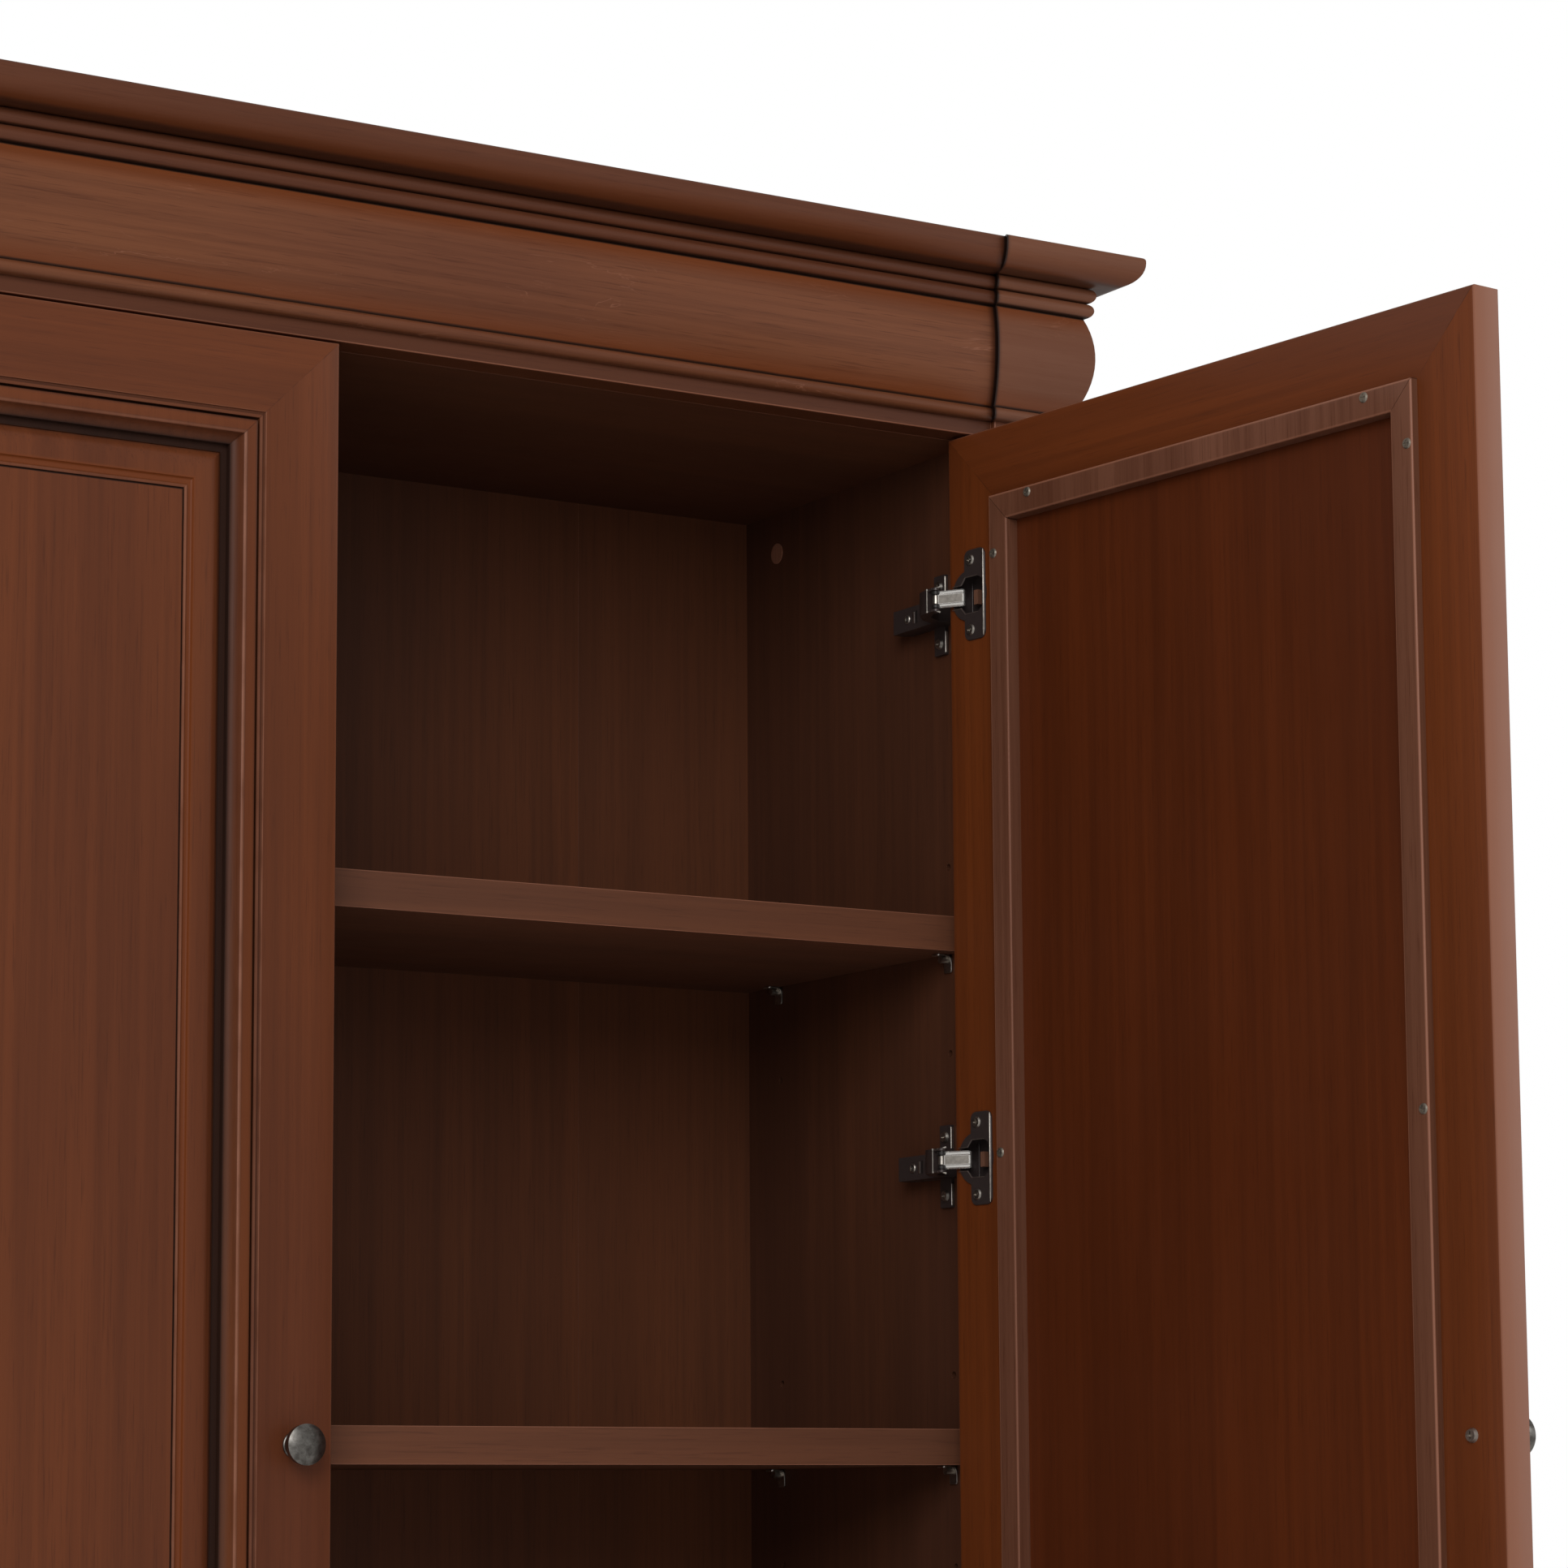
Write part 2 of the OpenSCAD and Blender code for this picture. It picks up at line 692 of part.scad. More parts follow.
module right_hinge_stile() color(stain) door_part(RIGHT) hinge_stile();
module right_free_stile() color(stain) door_part(RIGHT) free_stile();
module right_top_rail() color(stain) door_part(RIGHT) top_rail_of_door();
module right_bottom_rail() color(stain) door_part(RIGHT) bottom_rail();
module right_panel() color(stain) door_part(RIGHT) raised_panel();
module right_moulding() color(stain) door_part(RIGHT) moulding();
module right_battens() color(inner_stain) door_part(RIGHT) battens();
module right_batten_screws() color("silver") door_part(RIGHT) batten_screws();
module right_knob() color(pewter) door_part(RIGHT) knob();
module right_knob_screw() color("silver") door_part(RIGHT) knob_screw();
module right_hinge_cups() color([0.16, 0.15, 0.15]) door_frame(RIGHT) hinge_cups();
module right_cup_screws() color("silver") door_frame(RIGHT) cup_screws();

skirting_front();
skirting_sides();
skirting_cap_front();
skirting_cap_sides();
plinth_bearers();
bottom_panel();
front_post_left();
front_post_right();
rear_posts();
side_rails();
side_panels();
wall_liner_left();
wall_liner_right();
top_panel();
top_rail();
dust_cover();
back_board_left();
back_board_middle();
back_board_right();
shelf_upper();
shelf_middle();
shelf_lower();
shelf_pins();
connector_caps();
crown_front();
crown_corners();
crown_sides();
frieze_front();
frieze_corners();
frieze_sides();
hinge_arms();
hinge_arm_pins();
hinge_plates();
hinge_plate_screws();
left_hinge_links();
right_hinge_links();
left_hinge_stile();
left_free_stile();
left_top_rail();
left_bottom_rail();
left_panel();
left_moulding();
left_battens();
left_batten_screws();
left_knob();
left_knob_screw();
left_hinge_cups();
left_cup_screws();
right_hinge_stile();
right_free_stile();
right_top_rail();
right_bottom_rail();
right_panel();
right_moulding();
right_battens();
right_batten_screws();
right_knob();
right_knob_screw();
right_hinge_cups();
right_cup_screws();
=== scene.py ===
"""Looks of a two-door armoire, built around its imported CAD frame. Metres, +Z up, front faces -Y."""
import json
import math

import bmesh
import bpy
from mathutils import Matrix, Vector


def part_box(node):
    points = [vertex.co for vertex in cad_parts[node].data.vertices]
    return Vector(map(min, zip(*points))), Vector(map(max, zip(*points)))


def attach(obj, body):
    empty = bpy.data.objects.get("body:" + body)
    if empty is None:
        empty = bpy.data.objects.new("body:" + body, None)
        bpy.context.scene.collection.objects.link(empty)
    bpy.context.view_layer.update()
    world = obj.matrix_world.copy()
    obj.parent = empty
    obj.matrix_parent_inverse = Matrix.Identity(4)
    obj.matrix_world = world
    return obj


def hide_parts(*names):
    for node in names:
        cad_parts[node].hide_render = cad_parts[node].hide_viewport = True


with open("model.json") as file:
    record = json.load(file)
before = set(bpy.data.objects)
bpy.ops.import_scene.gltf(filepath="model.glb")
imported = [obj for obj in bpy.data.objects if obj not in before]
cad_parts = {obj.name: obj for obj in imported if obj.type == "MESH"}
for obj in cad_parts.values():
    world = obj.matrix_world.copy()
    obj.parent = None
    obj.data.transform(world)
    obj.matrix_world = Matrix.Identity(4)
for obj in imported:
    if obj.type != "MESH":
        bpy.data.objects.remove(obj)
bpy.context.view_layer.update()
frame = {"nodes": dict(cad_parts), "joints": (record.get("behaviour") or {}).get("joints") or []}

MM = 0.001
NODES = frame["nodes"]

# ---------- the frame's own places ----------

HINGE = {joint["name"]: joint for joint in frame["joints"]}
RIGHT_AXIS = Vector(HINGE["right_door_hinge"]["pos_m"])
LEFT_AXIS = Vector(HINGE["left_door_hinge"]["pos_m"])
REST_OPEN = math.radians(-HINGE["right_door_hinge"]["range_deg"][0])
# The left door is shut at rest, so its boxes give both doors' size and the place of its pivot
door_low, door_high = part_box("left_hinge_stile")
DOOR_H = door_high.z - door_low.z
DOOR_Z = door_low.z
DOOR_FRONT = door_low.y
PIVOT_IN = LEFT_AXIS.x - door_low.x
DOOR_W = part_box("left_top_rail")[1].x - door_low.x
WALL_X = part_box("wall_liner_right")[0].x


def hinge_matrix(side, height, swing=0.0):
    """Hinge coordinates on the wall: x to the wall, y to the back, origin on the door's axis."""
    place = Matrix.Translation((-LEFT_AXIS.x, LEFT_AXIS.y, DOOR_Z + height)) @ Matrix.Rotation(swing, 4, "Z")
    return place if side == "right" else Matrix.Scale(-1, 4, (1, 0, 0)) @ place


# ---------- node helpers ----------


class Graph:
    """A short way to write a material's nodes."""

    def __init__(self, name):
        self.material = bpy.data.materials.new(name)
        self.material.use_nodes = True
        self.nodes = self.material.node_tree.nodes
        self.links = self.material.node_tree.links
        self.shader = self.nodes["Principled BSDF"]

    def put(self, socket, value):
        """Links a socket or sets a value on it."""
        if isinstance(value, bpy.types.NodeSocket):
            self.links.new(value, socket)
        elif value is not None:
            socket.default_value = value

    def node(self, kind, **settings):
        made = self.nodes.new(kind)
        for key, value in settings.items():
            setattr(made, key, value)
        return made

    def math(self, operation, a, b=None, c=None):
        made = self.node("ShaderNodeMath", operation=operation)
        for socket, value in zip(made.inputs, (a, b, c)):
            self.put(socket, value)
        return made.outputs[0]

    def mix(self, factor, a, b, blend="MIX"):
        made = self.node("ShaderNodeMix", data_type="RGBA", blend_type=blend)
        self.put(made.inputs[0], factor)
        self.put(made.inputs[6], a)
        self.put(made.inputs[7], b)
        return made.outputs[2]

    def noise(self, vector, scale, detail=2.0, rough=0.5, distortion=0.0):
        made = self.node("ShaderNodeTexNoise")
        self.put(made.inputs["Vector"], vector)
        made.inputs["Scale"].default_value = scale
        made.inputs["Detail"].default_value = detail
        made.inputs["Roughness"].default_value = rough
        made.inputs["Distortion"].default_value = distortion
        return made.outputs[0]

    def scaled(self, vector, scale, location=(0, 0, 0), rotation=(0, 0, 0)):
        made = self.node("ShaderNodeMapping")
        self.put(made.inputs["Vector"], vector)
        made.inputs["Location"].default_value = location
        made.inputs["Rotation"].default_value = rotation
        made.inputs["Scale"].default_value = scale
        return made.outputs[0]

    def ramp(self, factor, stops, smooth=False):
        """stops are (position, grey or colour)."""
        made = self.node("ShaderNodeValToRGB")
        made.color_ramp.interpolation = "EASE" if smooth else "LINEAR"
        elements = made.color_ramp.elements
        while len(elements) < len(stops):
            elements.new(0.5)
        for element, (position, colour) in zip(elements, stops):
            element.position = position
            element.color = (colour,) * 3 + (1,) if isinstance(colour, (int, float)) else (*colour, 1)
        self.put(made.inputs[0], factor)
        return made.outputs[0]

    def bump(self, height, strength, distance):
        made = self.node("ShaderNodeBump")
        made.inputs["Strength"].default_value = strength
        made.inputs["Distance"].default_value = distance
        self.put(made.inputs["Height"], height)
        return made.outputs[0]

    def set(self, **values):
        """Values and links for the shader's own sockets."""
        for key, value in values.items():
            self.put(self.shader.inputs[key.replace("_", " ")], value)

    def coordinates(self):
        return self.node("ShaderNodeTexCoord").outputs["Object"]


# ---------- wood ----------

# Linear colours: each wood's usual tone, its dark streaks and its warmer clouds
STAIN = (0.118, 0.0335, 0.0125)
STAIN_DARK = (0.062, 0.0165, 0.0065)
STAIN_WARM = (0.165, 0.050, 0.0165)
DOOR = (0.119, 0.0315, 0.0110)
DOOR_DARK = (0.068, 0.0180, 0.0068)
DOOR_WARM = (0.152, 0.0405, 0.0122)
INNER = (0.098, 0.034, 0.0160)
INNER_DARK = (0.058, 0.021, 0.011)
INNER_WARM = (0.125, 0.040, 0.0165)
RAIL = (0.092, 0.0280, 0.0120)
RAIL_WARM = (0.110, 0.0340, 0.0140)
# The inside walls' wood is darker than the rest of the inside: painted shade
WALL = (0.078, 0.028, 0.0150)
WALL_DARK = (0.046, 0.0175, 0.0100)
WALL_WARM = (0.098, 0.033, 0.0150)
SHELF = (0.130, 0.050, 0.0270)
SHELF_DARK = (0.075, 0.029, 0.0165)
SHELF_WARM = (0.155, 0.056, 0.0280)
BATTEN = (0.145, 0.056, 0.0310)
BATTEN_WARM = (0.17, 0.068, 0.040)
FRIEZE = (0.142, 0.046, 0.0210)
FRIEZE_WARM = (0.188, 0.064, 0.0265)
# The corner lengths' wood is paler and cooler than the frieze's: painted sheen
CORNER = (0.148, 0.056, 0.0290)
CORNER_WARM = (0.182, 0.070, 0.0360)
CROWN = (0.112, 0.0360, 0.0165)
CROWN_WARM = (0.135, 0.0440, 0.0200)
# The dark glaze and painted shade in grooves, the pale wood of the figure's curls, the caps and the painted
# highlights on edges and arrises, and the orange of the moulding's band and of painted bounce light in
# hollows
GLAZE_AND_SHADE = (0.010, 0.0045, 0.003)
PALE_WOOD = (0.30, 0.125, 0.075)
ORANGE = (0.16, 0.038, 0.008)
GLAZE_AND_SHADE_RGBA = (*GLAZE_AND_SHADE, 1)
PALE_WOOD_RGBA = (*PALE_WOOD, 1)
ORANGE_RGBA = (*ORANGE, 1)
# The specular level of all wood
WOOD_SHEEN = 0.22
# Depth behind a door's front that its glaze, painted shade, painted highlights and orange reach, the
# strength of the painted highlight on its edges, and the tints of the backs of its frame and of its panel
FRONT_DEPTH = 0.012
EDGE_HIGHLIGHT = 0.75
BACK_RGBA = (1.01, 0.87, 0.58, 1)
PANEL_BACK_RGBA = (0.72, 0.56, 0.38, 1)

# Distance in from a door's edge, in metres, and how much dark glaze and painted groove shade lies there on
# its front
GLAZE_AND_SHADE_STOPS = [
    (0.0, 0.0), (0.0501, 0.0), (0.0505, 0.4), (0.0516, 0.4), (0.0523, 0.0), (0.0541, 0.1),
    (0.0545, 0.97), (0.0561, 0.97), (0.0567, 0.1), (0.0590, 0.0), (0.0668, 0.0), (0.0690, 0.25),
    (0.0705, 0.45), (0.0718, 0.85), (0.0764, 0.88), (0.0773, 0.45), (0.0790, 0.1), (0.0830, 0.0),
    (0.1029, 0.0), (0.1034, 0.9), (0.1044, 0.9), (0.1050, 0.0)]
# The same for the painted highlights, in pale wood, along the arrises and the fillet
HIGHLIGHT_STOPS = [
    (0.0, 0.0), (0.0493, 0.0), (0.0497, 0.75), (0.0502, 0.75), (0.0505, 0.0), (0.0517, 0.0),
    (0.0521, 0.35), (0.0538, 0.25), (0.0543, 0.0), (0.0636, 0.0), (0.0643, 0.85), (0.0652, 0.85),
    (0.0660, 0.1), (0.0672, 0.0), (0.1006, 0.0), (0.1013, 0.5), (0.1030, 0.5), (0.1033, 0.0)]
# and for the orange of the moulding's flat band and the deeper orange of painted bounce light in the hollow
# round the raised field
WARM_STOPS = [(0.0, 0.0), (0.0570, 0.0), (0.0580, 0.6), (0.0630, 0.45), (0.0636, 0.0), (0.0945, 0.0),
              (0.0965, 1.0), (0.0995, 1.0), (0.1008, 0.0)]
# Distances that the ramps of a door's lines, mitres and edges cover
LINE_SPAN = 0.125
MITRE_SPAN = 0.002
RIM_SPAN = 0.01
# The battens' outer and inner edges, their arrises, and how far their top is behind the door's front
BATTEN_OUTER = 0.048
BATTEN_INNER = 0.066
BATTEN_ARRIS = 0.001
BATTEN_TOP = 0.0275

GRAIN_TURNS = {"z": (0, 0, 0), "x": (0, math.pi / 2, 0), "y": (math.pi / 2, 0, 0)}


def door_coordinates(g, side):
    """The object's coordinates turned into the door's: x in from the hinge edge, y behind the shut
    door's front, z up from its foot."""
    if side == "left":
        return g.scaled(g.coordinates(), (1, 1, 1), location=-door_low)
    shut = g.node("ShaderNodeVectorRotate", rotation_type="Z_AXIS", invert=True)
    g.put(shut.inputs["Vector"], g.coordinates())
    shut.inputs["Center"].default_value = (RIGHT_AXIS.x, RIGHT_AXIS.y, 0)
    shut.inputs["Angle"].default_value = REST_OPEN
    hinge_edge = RIGHT_AXIS.x + PIVOT_IN
    return g.scaled(shut.outputs[0], (-1, 1, 1), location=(hinge_edge, -DOOR_FRONT, -DOOR_Z))


def add_grain(g, vector, grain, tones, seed, figure):
    """Streaks, broad clouds of stain, pores and flecks along the grain. Returns colour and height."""
    plain, dark, warm = tones
    along = g.scaled(vector, (1, 1, 1), rotation=GRAIN_TURNS[grain])
    offset = (seed * 1.7, seed * 2.3, seed * 3.1)
    clouds = g.noise(g.scaled(along, (3.2, 3.2, 1.1), location=offset), 1.0, 3.0, 0.55)
    bands = g.noise(g.scaled(along, (24, 24, 0.9), location=offset), 1.0, 3.0, 0.6, 0.6)
    streaks = g.noise(g.scaled(along, (190, 190, 2.6), location=offset), 1.0, 4.0, 0.6)
    pores = g.noise(g.scaled(along, (900, 900, 26), location=offset), 1.0, 2.0, 0.6)
    colour = g.mix(g.ramp(clouds, [(0.33, 0.0), (0.68, 1.0)], True), plain, warm)
    colour = g.mix(g.ramp(bands, [(0.36, 0.30), (0.60, 0.0)], True), colour, dark)
    colour = g.mix(g.ramp(streaks, [(0.36, 0.30), (0.58, 0.0)]), colour, dark)
    colour = g.mix(g.ramp(pores, [(0.30, 0.45), (0.42, 0.0)]), colour, dark)
    if figure:
        curls = g.noise(g.scaled(along, (60, 60, 9), location=offset), 1.0, 4.0, 0.6, 0.9)
        lines = g.ramp(g.math("ABSOLUTE", g.math("SUBTRACT", curls, 0.5)), [(0.0, figure), (0.009, 0.0)])
        spread = g.noise(g.scaled(along, (30, 30, 9), location=offset), 1.0, 3.0)
        where = g.ramp(spread, [(0.52, 0.0), (0.62, 1.0)])
        colour = g.mix(g.math("MULTIPLY", lines, where), colour, PALE_WOOD_RGBA)
    height = g.math("MULTIPLY_ADD", pores, 0.6, g.math("MULTIPLY", streaks, 0.5))
    return colour, height


def finish_wood(g, colour, height, rough, coat, glaze_and_shade=None):
    """Its last argument is how much dark glaze and painted groove shade lies on the wood, which makes it
    duller.
    """
    cloud = g.noise(g.coordinates(), 14.0, 3.0, 0.6)
    dullness = g.math("MULTIPLY_ADD", cloud, 0.16, rough - 0.08)
    if glaze_and_shade is not None:
        dullness = g.math("MULTIPLY_ADD", glaze_and_shade, 0.35, dullness)
        coat = g.math("MULTIPLY_ADD", glaze_and_shade, -coat, coat)
    g.set(Base_Color=colour, Roughness=dullness, Specular_IOR_Level=WOOD_SHEEN, Coat_Weight=coat,
          Coat_Roughness=0.2, IOR=1.45, Normal=g.bump(height, 0.10, 0.0004))
    return g.material


def case_wood(name, grain, tones, seed, rough=0.42, figure=0.0, coat=0.05, cornice=False):
    """Wood with its grain along one axis. figure is how strongly pale curls show in it."""
    g = Graph(name)
    colour, height = add_grain(g, g.coordinates(), grain, tones, seed, figure)
    if cornice:
        colour = paint_cornice_glaze_and_shade(g, colour)
    return finish_wood(g, colour, height, rough, coat)


# Height above the frieze's foot, in metres, and how much dark glaze with painted groove shade, or orange of
# painted light, lies there on the cornice
CORNICE_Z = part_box("frieze_front")[0].z
CORNICE_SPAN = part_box("crown_front")[1].z - CORNICE_Z
CORNICE_GLAZE_AND_SHADE = [(0.0, 0.3), (0.0010, 0.1), (0.0084, 0.0), (0.0088, 0.9), (0.0096, 0.9), (0.0105, 0.0),
                 (0.0765, 0.0), (0.0773, 0.97), (0.0785, 0.97), (0.0792, 0.1), (0.0800, 0.0), (0.0878, 0.0),
                 (0.0882, 0.75), (0.0890, 0.75), (0.0895, 0.0), (0.0975, 0.1), (0.0983, 0.6), (0.0995, 0.15),
                 (0.1080, 0.0)]
CORNICE_PAINTED_ORANGE = [(0.0095, 0.0), (0.0100, 0.75), (0.0220, 0.0), (0.0640, 0.0), (0.0765, 0.8), (0.0770, 0.0),
                  (0.0985, 0.0), (0.0995, 0.6), (0.1100, 0.0)]
# The joints between the cornice's middle and its corner lengths: x at the doors' front and its change
# with y, the dark line's half width, the width of the painted shade beside it, and how deep they show
JOINT_X = WALL_X - 0.002
JOINT_SLOPE = 0.37
JOINT_HALF = 0.0011
JOINT_SHADE = 0.006
JOINT_DEEP = 0.03


def paint_cornice_glaze_and_shade(g, colour):
    """Adds to a colour the cornice's dark grooves of glaze and painted shade, its orange of painted light,
    and its corner joints with painted shade beside them.
    """
    split = g.node("ShaderNodeSeparateXYZ")
    g.put(split.inputs[0], g.coordinates())
    x, y, z = split.outputs
    waver = g.math("MULTIPLY_ADD", g.noise(g.coordinates(), 40.0, 2.0), 0.0006, -0.0003)
    rise = g.math("DIVIDE", g.math("ADD", g.math("SUBTRACT", z, CORNICE_Z), waver), CORNICE_SPAN)
    # Painted light: orange in the hollows and at the frieze's top and bottom, which leaves its middle
    # cooler, like a sheen
    bounce_orange = g.ramp(rise, [(at / CORNICE_SPAN, amount) for at, amount in CORNICE_PAINTED_ORANGE])
    colour = g.mix(bounce_orange, colour, ORANGE_RGBA)
    # Dark glaze and painted shade in the cornice's grooves
    dark = g.ramp(rise, [(at / CORNICE_SPAN, amount) for at, amount in CORNICE_GLAZE_AND_SHADE])
    joint = g.math("MULTIPLY_ADD", g.math("SUBTRACT", y, DOOR_FRONT), JOINT_SLOPE, JOINT_X)
    off = g.math("ABSOLUTE", g.math("SUBTRACT", g.math("ABSOLUTE", x), joint))
    seam = g.ramp(g.math("DIVIDE", off, JOINT_HALF * 3), [(0.0, 0.98), (0.25, 0.9), (0.5, 0.35), (1.0, 0.0)])
    # A band of painted shade on the middle length's side of each joint
    inside = g.math("SUBTRACT", joint, g.math("ABSOLUTE", x))
    beside = g.math("DIVIDE", inside, JOINT_SHADE)
    shade = g.ramp(beside, [(0.0, 0.0), (0.01, 0.85), (0.55, 0.6), (1.0, 0.0)])
    near = g.math("LESS_THAN", y, DOOR_FRONT + JOINT_DEEP)
    colour = g.mix(g.math("MULTIPLY", shade, near), colour, (*STAIN_DARK, 1))
    seam = g.math("MULTIPLY", seam, near)
    return g.mix(g.math("MAXIMUM", dark, seam), colour, GLAZE_AND_SHADE_RGBA)


def line_ramp(g, distance, stops):
    """A ramp over a distance in metres."""
    return g.ramp(g.math("DIVIDE", distance, LINE_SPAN), [(at / LINE_SPAN, amount) for at, amount in stops])


def door_distances(g, place):
    """Depth behind the front, and distances in from the sides, from the ends and from the nearer of them."""
    split = g.node("ShaderNodeSeparateXYZ")
    g.put(split.inputs[0], place)
    x, y, z = split.outputs
    from_side = g.math("MINIMUM", x, g.math("SUBTRACT", DOOR_W, x))
    from_end = g.math("MINIMUM", z, g.math("SUBTRACT", DOOR_H, z))
    return y, from_side, from_end, g.math("MINIMUM", from_side, from_end)


def door_wood(name, side, grain, seed, tones, mitred=True):
    """Door wood has dark glaze and painted shade in the front's grooves, painted highlights on its arrises,
    fillet and edges, orange in the moulding's band and painted bounce light in its hollow and, on the frame,
    mitre lines.
    """
    g = Graph(name)
    place = door_coordinates(g, side)
    colour, height = add_grain(g, place, grain, tones, seed, 0.0)
    y, from_side, from_end, inward = door_distances(g, place)
    front = g.math("LESS_THAN", y, FRONT_DEPTH)
    waver = g.math("MULTIPLY_ADD", g.noise(place, 60.0, 2.0), 0.0006, -0.0003)
    wavy = g.math("ADD", inward, waver)
    # The orange of the moulding's band, and painted bounce light in the hollow round the raised field
    warm = line_ramp(g, inward, WARM_STOPS)
    colour = g.mix(g.math("MULTIPLY", warm, front), colour, ORANGE_RGBA)
    # Painted highlights along the arrises and the fillet, in patches and strongest on the upright bars,
    # where the light catches them
    patchy = g.ramp(g.noise(place, 35.0, 3.0), [(0.35, 0.55), (0.6, 1.0)])
    highlight_on_uprights = g.math("MULTIPLY_ADD", g.math("LESS_THAN", from_side, from_end), 0.7, 0.3)
    patchy = g.math("MULTIPLY", patchy, highlight_on_uprights)
    painted_highlight = g.math("MULTIPLY", line_ramp(g, inward, HIGHLIGHT_STOPS), patchy)
    colour = g.mix(g.math("MULTIPLY", painted_highlight, front), colour, PALE_WOOD_RGBA)
    # Dark glaze and painted shade in the front's grooves
    glaze_and_shade = g.math("MULTIPLY", line_ramp(g, wavy, GLAZE_AND_SHADE_STOPS), front)
    colour = g.mix(glaze_and_shade, colour, GLAZE_AND_SHADE_RGBA)
    tint = BACK_RGBA if mitred else PANEL_BACK_RGBA
    colour = g.mix(g.math("SUBTRACT", 1.0, front), colour, tint, "MULTIPLY")
    if mitred:
        mitre = g.math("ABSOLUTE", g.math("SUBTRACT", from_side, from_end))
        faint = g.ramp(g.noise(place, 90.0, 2.0), [(0.42, 0.05), (0.6, 0.5)])
        line = g.ramp(g.math("DIVIDE", mitre, MITRE_SPAN), [(0.0, 1.0), (0.14, 0.8), (0.25, 0.0)])
        colour = g.mix(g.math("MULTIPLY", line, faint), colour, GLAZE_AND_SHADE_RGBA)
    # Painted highlight on the door's edges and their arrises
    rim = g.ramp(g.math("DIVIDE", inward, RIM_SPAN), [(0.0, 1.0), (0.02, 0.9), (0.08, 0.1), (0.2, 0.0)])
    colour = g.mix(g.math("MULTIPLY", rim, EDGE_HIGHLIGHT), colour, PALE_WOOD_RGBA)
    return finish_wood(g, colour, height, rough=0.46, coat=0.04, glaze_and_shade=glaze_and_shade)


def batten_wood(name, side, seed):
    """The battens' arrises are painted paler, as painted highlights."""
    g = Graph(name)
    place = door_coordinates(g, side)
    colour, height = add_grain(g, place, "z", BATTEN_TONES, seed, 0.0)
    y, from_side, from_end, inward = door_distances(g, place)
    proud = g.math("GREATER_THAN", y, BATTEN_TOP - BATTEN_ARRIS)
    off = g.math("ABSOLUTE", g.math("SUBTRACT", inward, BATTEN_OUTER + BATTEN_ARRIS / 2))
    outer = g.ramp(g.math("DIVIDE", off, RIM_SPAN), [(0.0, 0.8), (0.06, 0.7), (0.12, 0.0)])
    off = g.math("ABSOLUTE", g.math("SUBTRACT", inward, BATTEN_INNER - BATTEN_ARRIS / 2))
    inner = g.ramp(g.math("DIVIDE", off, RIM_SPAN), [(0.0, 0.45), (0.05, 0.35), (0.10, 0.0)])
    # Painted highlights on the battens' outer and inner arrises
    painted_highlight = g.math("MULTIPLY", g.math("MAXIMUM", outer, inner), proud)
    colour = g.mix(painted_highlight, colour, PALE_WOOD_RGBA)
    return finish_wood(g, colour, height, rough=0.42, coat=0.03)


def rgba(colours):
    return tuple((*c, 1) for c in colours)


OUTER_TONES = rgba((STAIN, STAIN_DARK, STAIN_WARM))
FRIEZE_TONES = rgba((FRIEZE, STAIN_DARK, FRIEZE_WARM))
CORNER_SHEEN_TONES = rgba((CORNER, STAIN, CORNER_WARM))
CROWN_TONES = rgba((CROWN, STAIN_DARK, CROWN_WARM))
RAIL_TONES = rgba((RAIL, STAIN_DARK, RAIL_WARM))
DOOR_TONES = rgba((DOOR, DOOR_DARK, DOOR_WARM))
INNER_TONES = rgba((INNER, INNER_DARK, INNER_WARM))
SHADED_WALL_TONES = rgba((WALL, WALL_DARK, WALL_WARM))
SHELF_TONES = rgba((SHELF, SHELF_DARK, SHELF_WARM))
BATTEN_TONES = rgba((BATTEN, STAIN_DARK, BATTEN_WARM))
HIGHLIGHT_EDGE_TONES = rgba(((0.20, 0.075, 0.040), STAIN, PALE_WOOD))
HIGHLIGHT_INNER_TONES = rgba(((0.155, 0.062, 0.036), INNER, PALE_WOOD))
CAP_TONES = rgba((PALE_WOOD, INNER, PALE_WOOD))


# ---------- metals and floor ----------

DARK_PATINA = (0.05, 0.045, 0.04, 1)


def metal(name, colour, rough, patina=0.0, patina_colour=DARK_PATINA, scale=300.0, bare=1.0):
    """Plated or cast metal with fine scratches and, for old finishes, dark patches. bare is how metallic."""
    g = Graph(name)
    at = g.coordinates()
    fine = g.noise(g.scaled(at, (1, 1, 6)), scale * 4, 3.0, 0.6)
    patches = g.noise(at, scale, 4.0, 0.65, 0.4)
    shade = g.mix(g.ramp(patches, [(0.38, patina), (0.62, 0.0)]), (*colour, 1), patina_colour)
    g.set(Base_Color=shade, Metallic=bare,
          Roughness=g.math("MULTIPLY_ADD", fine, 0.16, rough - 0.08), Normal=g.bump(fine, 0.08, 0.0002))
    return g.material


PEWTER = metal("aged_pewter", (0.20, 0.19, 0.175), 0.34, 0.7, (0.05, 0.042, 0.036, 1), 160.0)
NICKEL = metal("satin_nickel", (0.50, 0.46, 0.41), 0.36, 0.3)
SCREW_NICKEL = metal("screw_nickel", (0.30, 0.26, 0.21), 0.42, 0.4, bare=0.8)
BRIGHT_NICKEL = metal("bright_nickel", (0.84, 0.82, 0.78), 0.24, bare=0.75)
BLACK_NICKEL = metal("black_nickel", (0.050, 0.036, 0.034), 0.34, 0.3, (0.035, 0.025, 0.023, 1), bare=0.3)
# Paler black nickel for the flange's mouth lip: a painted highlight
HIGHLIGHT_BLACK_NICKEL = metal("black_nickel_painted_highlight", (0.16, 0.12, 0.10), 0.36, 0.3, bare=0.5)
